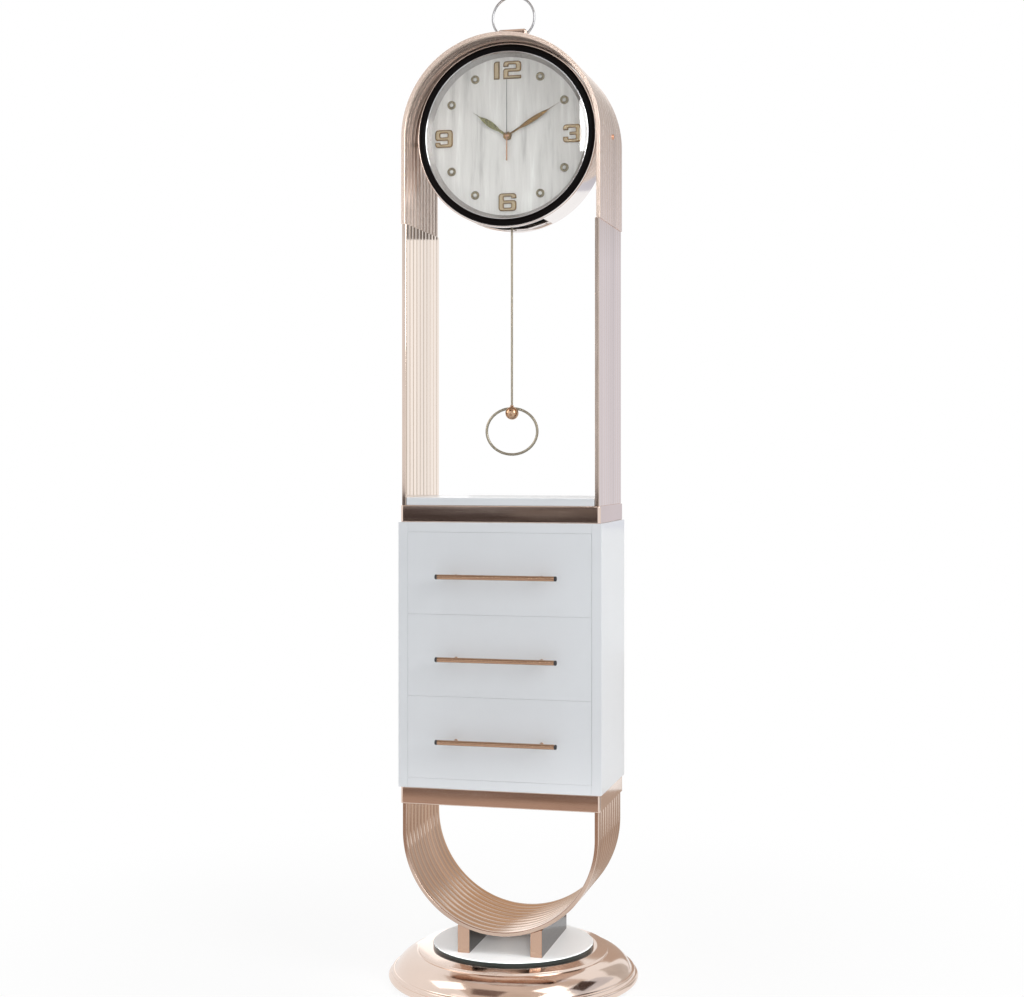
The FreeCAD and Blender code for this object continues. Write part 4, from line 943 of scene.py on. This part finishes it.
def build_head_fittings():
    centre = (0, FITTING_Y, HEAD_Z)
    start, head = DRUM_RADIUS - 6, SCREW_END - 3.6
    shank = [(0, start), (2.5, start), (2.5, head), (5, head)]
    dome = arc(0, SCREW_END - 2.6, 5, 2.6, 0, 90, 8)
    bm = bmesh.new()
    for side in (-1, 1):
        lathe(bm, mirrored(shank + dome[:-1] + [(0, SCREW_END)], side), "X", centre, SCREW_STEPS)
    add_piece("side_screws", bm, [COPPER], "case", ["head_screws"])

    sleeve_end = DRUM_RADIUS + 9
    sleeve = [(2.6, DRUM_RADIUS - 0.4), (4, DRUM_RADIUS - 0.2), (4, sleeve_end - 0.4), (2.6, sleeve_end)]
    pad_foot, pad_top = DRUM_RADIUS - 0.2, DRUM_RADIUS + 1.6
    pad = [(0, pad_foot), (7.4, pad_foot), (8, pad_foot + 0.4), (8, pad_top), (0, pad_top)]
    bm = bmesh.new()
    for side in (-1, 1):
        lathe(bm, mirrored(sleeve, side), "X", centre, steps=28)
    lathe(bm, pad, "Z", centre, steps=36, closed=False)
    add_piece("drum_spacers", bm, [ROSE_GOLD], "case", ["head_spacers"])

    bm = bmesh.new()
    wire_loop(bm, CARRY_RADIUS, CARRY_RADIUS, CARRY_WIRE, (0, 0, CARRY_Z))
    add_piece("carry_loop", bm, [RING_STEEL], "case", ["carry_ring"])
    add_piece("loop_neck", node_shape("ring_mount"), [ROSE_GOLD], "case", ["ring_mount"],
              ease=0.8)


def build_pendulum():
    bm = bmesh.new()
    ball = arc(0, BOB_FOOT + BOB_RADIUS, BOB_RADIUS, BOB_RADIUS, -90, 78, 32)
    bob_top = BOB_FOOT + 2 * BOB_RADIUS
    collar = [(2.6, bob_top - 0.1), (3.4, bob_top + 0.2), (3.4, bob_top + 1.5), (2.9, bob_top + 2),
              (0, bob_top + 2)]
    lathe(bm, [(0, BOB_FOOT)] + ball[1:] + collar, "Z", (0, PENDULUM_Y, 0), steps=56)
    add_piece("pendulum_bob", bm, [BOB_GOLD], "pendulum", ["pendulum_ball"])
    bm = bmesh.new()
    wire_loop(bm, OVAL_HALF_X, OVAL_HALF_Z, OVAL_WIRE, (0, PENDULUM_Y, OVAL_Z))
    add_piece("pendulum_hoop", bm, [WIRE_GREY], "pendulum", ["pendulum_ring"])


build_bands()
build_base()
build_cabinet()
build_drawers()
build_numerals()
build_markers()
build_drum()
build_bezel()
build_hands()
build_head_fittings()
build_pendulum()

# Finishes of the CAD nodes that stay.
NODE_FINISHES = {
    "base_ballast": IRON,
    "base_floor_ring": RUBBER,
    "foot_bolts": STEEL,
    "seam_pins": STEEL,
    "runner_channels": STEEL,
    "drum_back_cover": BLACK_PLASTIC,
    "rehaut_ring": REHAUT_GREY,
    "glass_lens": CLEAR_GLASS,
    "dial_plate": DIAL_SILVER,
    "movement_case": BLACK_PLASTIC,
    "movement_nut": GOLD,
    "battery": BATTERY_WRAP,
    "setting_knob": BLACK_PLASTIC,
    "pendulum_hanger": WIRE_GREY,
    "pendulum_rod": WIRE_GREY,
    "upper_drawer_rails": STEEL,
    "middle_drawer_rails": STEEL,
    "lower_drawer_rails": STEEL,
}
for node, material in NODE_FINISHES.items():
    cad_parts[node].material_slots[0].material = material

# The glass shows in the view and in reflections, and lets the lamps through to the dial.
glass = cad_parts["glass_lens"]
glass.visible_shadow = False
glass.visible_diffuse = False


# World, floor, reflection cards, lamps and camera, in metres.

FLOOR_HALF = 9.0
SOFT_STRENGTH = 0.52
WHITE_STRENGTH = 1.0
CARD_SHADE = 0.85
FADE_SHARE = 0.35


def seen_directly(tree):
    """1 for camera, glossy and transmission rays."""
    path = tree.nodes.new("ShaderNodeLightPath")
    value = path.outputs["Is Camera Ray"]
    for name in ("Is Glossy Ray", "Is Transmission Ray"):
        larger = tree.nodes.new("ShaderNodeMath")
        larger.operation = "MAXIMUM"
        tree.links.new(value, larger.inputs[0])
        tree.links.new(path.outputs[name], larger.inputs[1])
        value = larger.outputs["Value"]
    return value


def build_world():
    world = bpy.data.worlds.new("studio")
    scene.world = world
    world.use_nodes = True
    tree = world.node_tree
    tree.nodes.clear()
    mix = tree.nodes.new("ShaderNodeMixShader")
    tree.links.new(seen_directly(tree), mix.inputs["Fac"])
    for place, strength in ((1, SOFT_STRENGTH), (2, WHITE_STRENGTH)):
        light = tree.nodes.new("ShaderNodeBackground")
        light.inputs["Color"].default_value = (1, 1, 1, 1)
        light.inputs["Strength"].default_value = strength
        tree.links.new(light.outputs["Background"], mix.inputs[place])
    output = tree.nodes.new("ShaderNodeOutputWorld")
    tree.links.new(mix.outputs["Shader"], output.inputs["Surface"])


def build_floor():
    """A pale floor that is white where it is seen directly, and keeps a shadow near the clock."""
    material, tree, shader = new_material("studio_floor", Roughness=0.9, Specular_IOR_Level=0.1)
    clouds = noise(tree, object_coords(tree), 2.0)
    tint(tree, clouds, ((0.88, 0.88, 0.88), (0.90, 0.90, 0.90)), shader.inputs["Base Color"])
    glow = tree.nodes.new("ShaderNodeEmission")
    glow.inputs["Strength"].default_value = WHITE_STRENGTH
    reach = tree.nodes.new("ShaderNodeVectorMath")
    reach.operation = "LENGTH"
    tree.links.new(object_coords(tree), reach.inputs[0])
    fade = tree.nodes.new("ShaderNodeMapRange")
    fade.interpolation_type = "SMOOTHSTEP"
    for socket, number in (("From Min", 0.3), ("From Max", 1.5), ("To Min", 0.86), ("To Max", 1.0)):
        fade.inputs[socket].default_value = number
    tree.links.new(reach.outputs["Value"], fade.inputs["Value"])
    share = tree.nodes.new("ShaderNodeMath")
    share.operation = "MULTIPLY"
    tree.links.new(seen_directly(tree), share.inputs[0])
    tree.links.new(fade.outputs["Result"], share.inputs[1])
    mix = tree.nodes.new("ShaderNodeMixShader")
    tree.links.new(share.outputs["Value"], mix.inputs["Fac"])
    tree.links.new(shader.outputs["BSDF"], mix.inputs[1])
    tree.links.new(glow.outputs["Emission"], mix.inputs[2])
    tree.links.new(mix.outputs["Shader"], tree.nodes["Material Output"].inputs["Surface"])
    bm = bmesh.new()
    bmesh.ops.create_grid(bm, x_segments=4, y_segments=4, size=FLOOR_HALF)
    floor = mesh_object("floor", bm, [material])


def card(name, centre, width, height, target, colour, strength=1.0, turn=0.0, top=None):
    """A flat card, turned in its plane, that only reflections see; its tone may change to a top tone."""
    material, tree, shader = new_material(name, Base_Color=(0, 0, 0, 1), Specular_IOR_Level=0.0,
                                          Emission_Strength=strength)
    glow = shader.inputs["Emission Color"]
    if top:
        split = tree.nodes.new("ShaderNodeSeparateXYZ")
        tree.links.new(object_coords(tree), split.inputs["Vector"])
        rise = tree.nodes.new("ShaderNodeMapRange")
        rise.inputs["From Min"].default_value = centre[2]
        rise.inputs["From Max"].default_value = centre[2] + height * FADE_SHARE
        tree.links.new(split.outputs["Z"], rise.inputs["Value"])
        tint(tree, rise.outputs["Result"], (colour, top), glow, (0.0, 1.0))
    else:
        clouds = noise(tree, object_coords(tree), 1.5)
        tint(tree, clouds, (shaded(colour, CARD_SHADE), colour), glow)
    bm = bmesh.new()
    bmesh.ops.create_grid(bm, x_segments=2, y_segments=2, size=0.5)
    facing = (Vector(target) - Vector(centre)).to_track_quat("Z", "Y").to_matrix().to_4x4()
    stretch = Matrix.Rotation(math.radians(turn), 4, "Z") @ Matrix.Diagonal((width, height, 1, 1))
    bmesh.ops.transform(bm, matrix=Matrix.Translation(centre) @ facing @ stretch, verts=bm.verts)
    board = mesh_object(name, bm, [material])
    board.visible_camera = False
    board.visible_diffuse = False
    board.visible_shadow = False


def lamp(name, spot, target, width, height, power, beam=180.0, glossy=True):
    """A soft rectangular lamp, which reflections may leave out."""
    light = bpy.data.lights.new(name, "AREA")
    light.shape = "RECTANGLE"
    light.size = width
    light.size_y = height
    light.energy = power
    light.spread = math.radians(beam)
    holder = bpy.data.objects.new(name, light)
    holder.location = spot
    holder.visible_glossy = glossy
    holder.rotation_euler = (Vector(target) - Vector(spot)).to_track_quat("-Z", "Y").to_euler()
    scene.collection.objects.link(holder)


build_world()
build_floor()

# Cards: name, centre, width, height, point that it faces, colour, strength, turn, top tone.
card("front_card", (-0.80, -3.05, 0.71), 1.2, 0.27, (0, 0, 0.87), (0.06, 0.045, 0.042))
card("front_streak", (-0.53, -3.0, 0.785), 0.34, 0.026, (0, 0, 0.87), (0.24, 0.19, 0.155), 1.0, -2.5)
card("near_floor_card", (-0.45, -1.45, 0.012), 1.7, 0.8, (-0.45, -1.45, 1), (0.55, 0.40, 0.32))
card("far_floor_card", (-0.45, -2.02, 0.014), 1.7, 0.46, (-0.45, -2.02, 1), (0.20, 0.13, 0.10))
card("back_floor_card", (0.38, 1.10, 0.012), 0.76, 1.4, (0.38, 1.10, 1), (0.56, 0.44, 0.36))
card("back_card", (0.165, 0.9, 0.26), 0.33, 0.50, (0.165, 0, 0.26), (0.56, 0.44, 0.36))
card("right_card", (0.31, 0.25, 1.36), 0.24, 1.06, (0.31, 0, 1.36), (0.70, 0.69, 0.76),
     top=(0.36, 0.34, 0.325))
card("side_card", (1.6, 0.6, 1.45), 1.8, 1.1, (0, 0.6, 1.45), (0.74, 0.75, 0.79))
card("corner_card", (1.3, 2.0, 0.9), 1.1, 1.6, (1.3, 0, 0.9), (0.64, 0.60, 0.56))
card("ceiling_card", (0.0, -1.0, 3.0), 4.0, 5.2, (0.0, -1.0, 0), (0.70, 0.60, 0.53))
card("right_softbox", (2.0, -0.6, 2.98), 1.9, 1.25, (2.0, -0.6, 0), (1, 1, 1), 2.4, 20)
card("left_softbox", (-2.6, -0.45, 2.98), 2.0, 1.4, (-2.6, -0.45, 0), (1, 1, 1), 2.4, 5)
card("right_flag", (0.42, -0.045, 0.325), 0.19, 0.13, (0.162, -0.138, 0.035), (0.07, 0.045, 0.035))
card("left_gap", (-0.75, -1.75, 2.98), 1.4, 1.4, (-0.75, -1.75, 0), (0.20, 0.14, 0.12), 1.0, 15)
card("low_softbox", (-0.84, 2.0, 0.60), 0.40, 1.2, (-0.84, 0, 0.60), (1, 1, 1), 1.6)
card("warm_card", (-0.08, 0.45, 0.28), 0.10, 0.10, (-0.08, 0, 0.28), (0.66, 0.44, 0.26))
card("drum_shade", (-0.05, 0.33, 1.50), 0.10, 0.14, (-0.18, 0, 1.42), (0.22, 0.20, 0.19))
card("hoop_card", (-0.07, 0.5, 0.26), 0.18, 0.42, (-0.07, 0, 0.26), (0.70, 0.57, 0.47))
card("right_edge_card", (-0.476, -3.4, 1.6), 0.2, 1.6, (-0.476, 0, 1.6), (0.42, 0.40, 0.40),
     top=(0.26, 0.24, 0.23))
card("left_edge_card", (-1.22, -3.4, 1.6), 0.2, 1.6, (-1.22, 0, 1.6), (0.80, 0.77, 0.77),
     top=(0.42, 0.40, 0.40))
card("top_edge_card", (-0.85, -3.4, 2.62), 0.9, 0.24, (-0.85, 0, 2.62), (0.25, 0.20, 0.18))
card("strip_card", (-0.465, -3.2, 2.18), 0.11, 0.19, (0.142, 0, 1.6), (1, 1, 1), 14.0)

# Lamps: name, place, point that it faces, width, height, watts, beam, whether reflections show it.
lamp("key", (2.6, -1.45, 2.3), (0, 0, 0.9), 1.5, 2.0, 46)
lamp("fill", (-2.2, -2.8, 1.8), (0, 0, 0.9), 1.8, 1.8, 5)
lamp("low", (0.3, -1.3, 0.45), (0, -0.05, 0.07), 0.5, 0.3, 0.68, 24, False)
lamp("top", (0.0, -0.5, 3.6), (0, 0, 0.8), 2.2, 1.4, 34)

# The camera's focal length, horizon and axis are in pixels of the image.
CAMERA_TURN = math.radians(14)
CAMERA_DISTANCE = 3.301
CAMERA_HEIGHT = 0.978
SENSOR_WIDTH = 36
FOCAL_PIXELS = 1763
IMAGE_WIDTH = 1024
HORIZON_RISE = 43.5
AXIS_SHIFT = 1.5
camera_data = bpy.data.cameras.new("camera")
camera_data.sensor_fit = "HORIZONTAL"
camera_data.sensor_width = SENSOR_WIDTH
camera_data.lens = SENSOR_WIDTH * FOCAL_PIXELS / IMAGE_WIDTH
camera_data.shift_x = -AXIS_SHIFT / IMAGE_WIDTH
camera_data.shift_y = -HORIZON_RISE / IMAGE_WIDTH
camera = bpy.data.objects.new("camera", camera_data)
camera.location = (
    math.sin(CAMERA_TURN) * CAMERA_DISTANCE,
    -math.cos(CAMERA_TURN) * CAMERA_DISTANCE,
    CAMERA_HEIGHT,
)
camera.rotation_euler = (math.pi / 2, 0, CAMERA_TURN)
scene.collection.objects.link(camera)
scene.camera = camera
scene.view_settings.view_transform = "Standard"
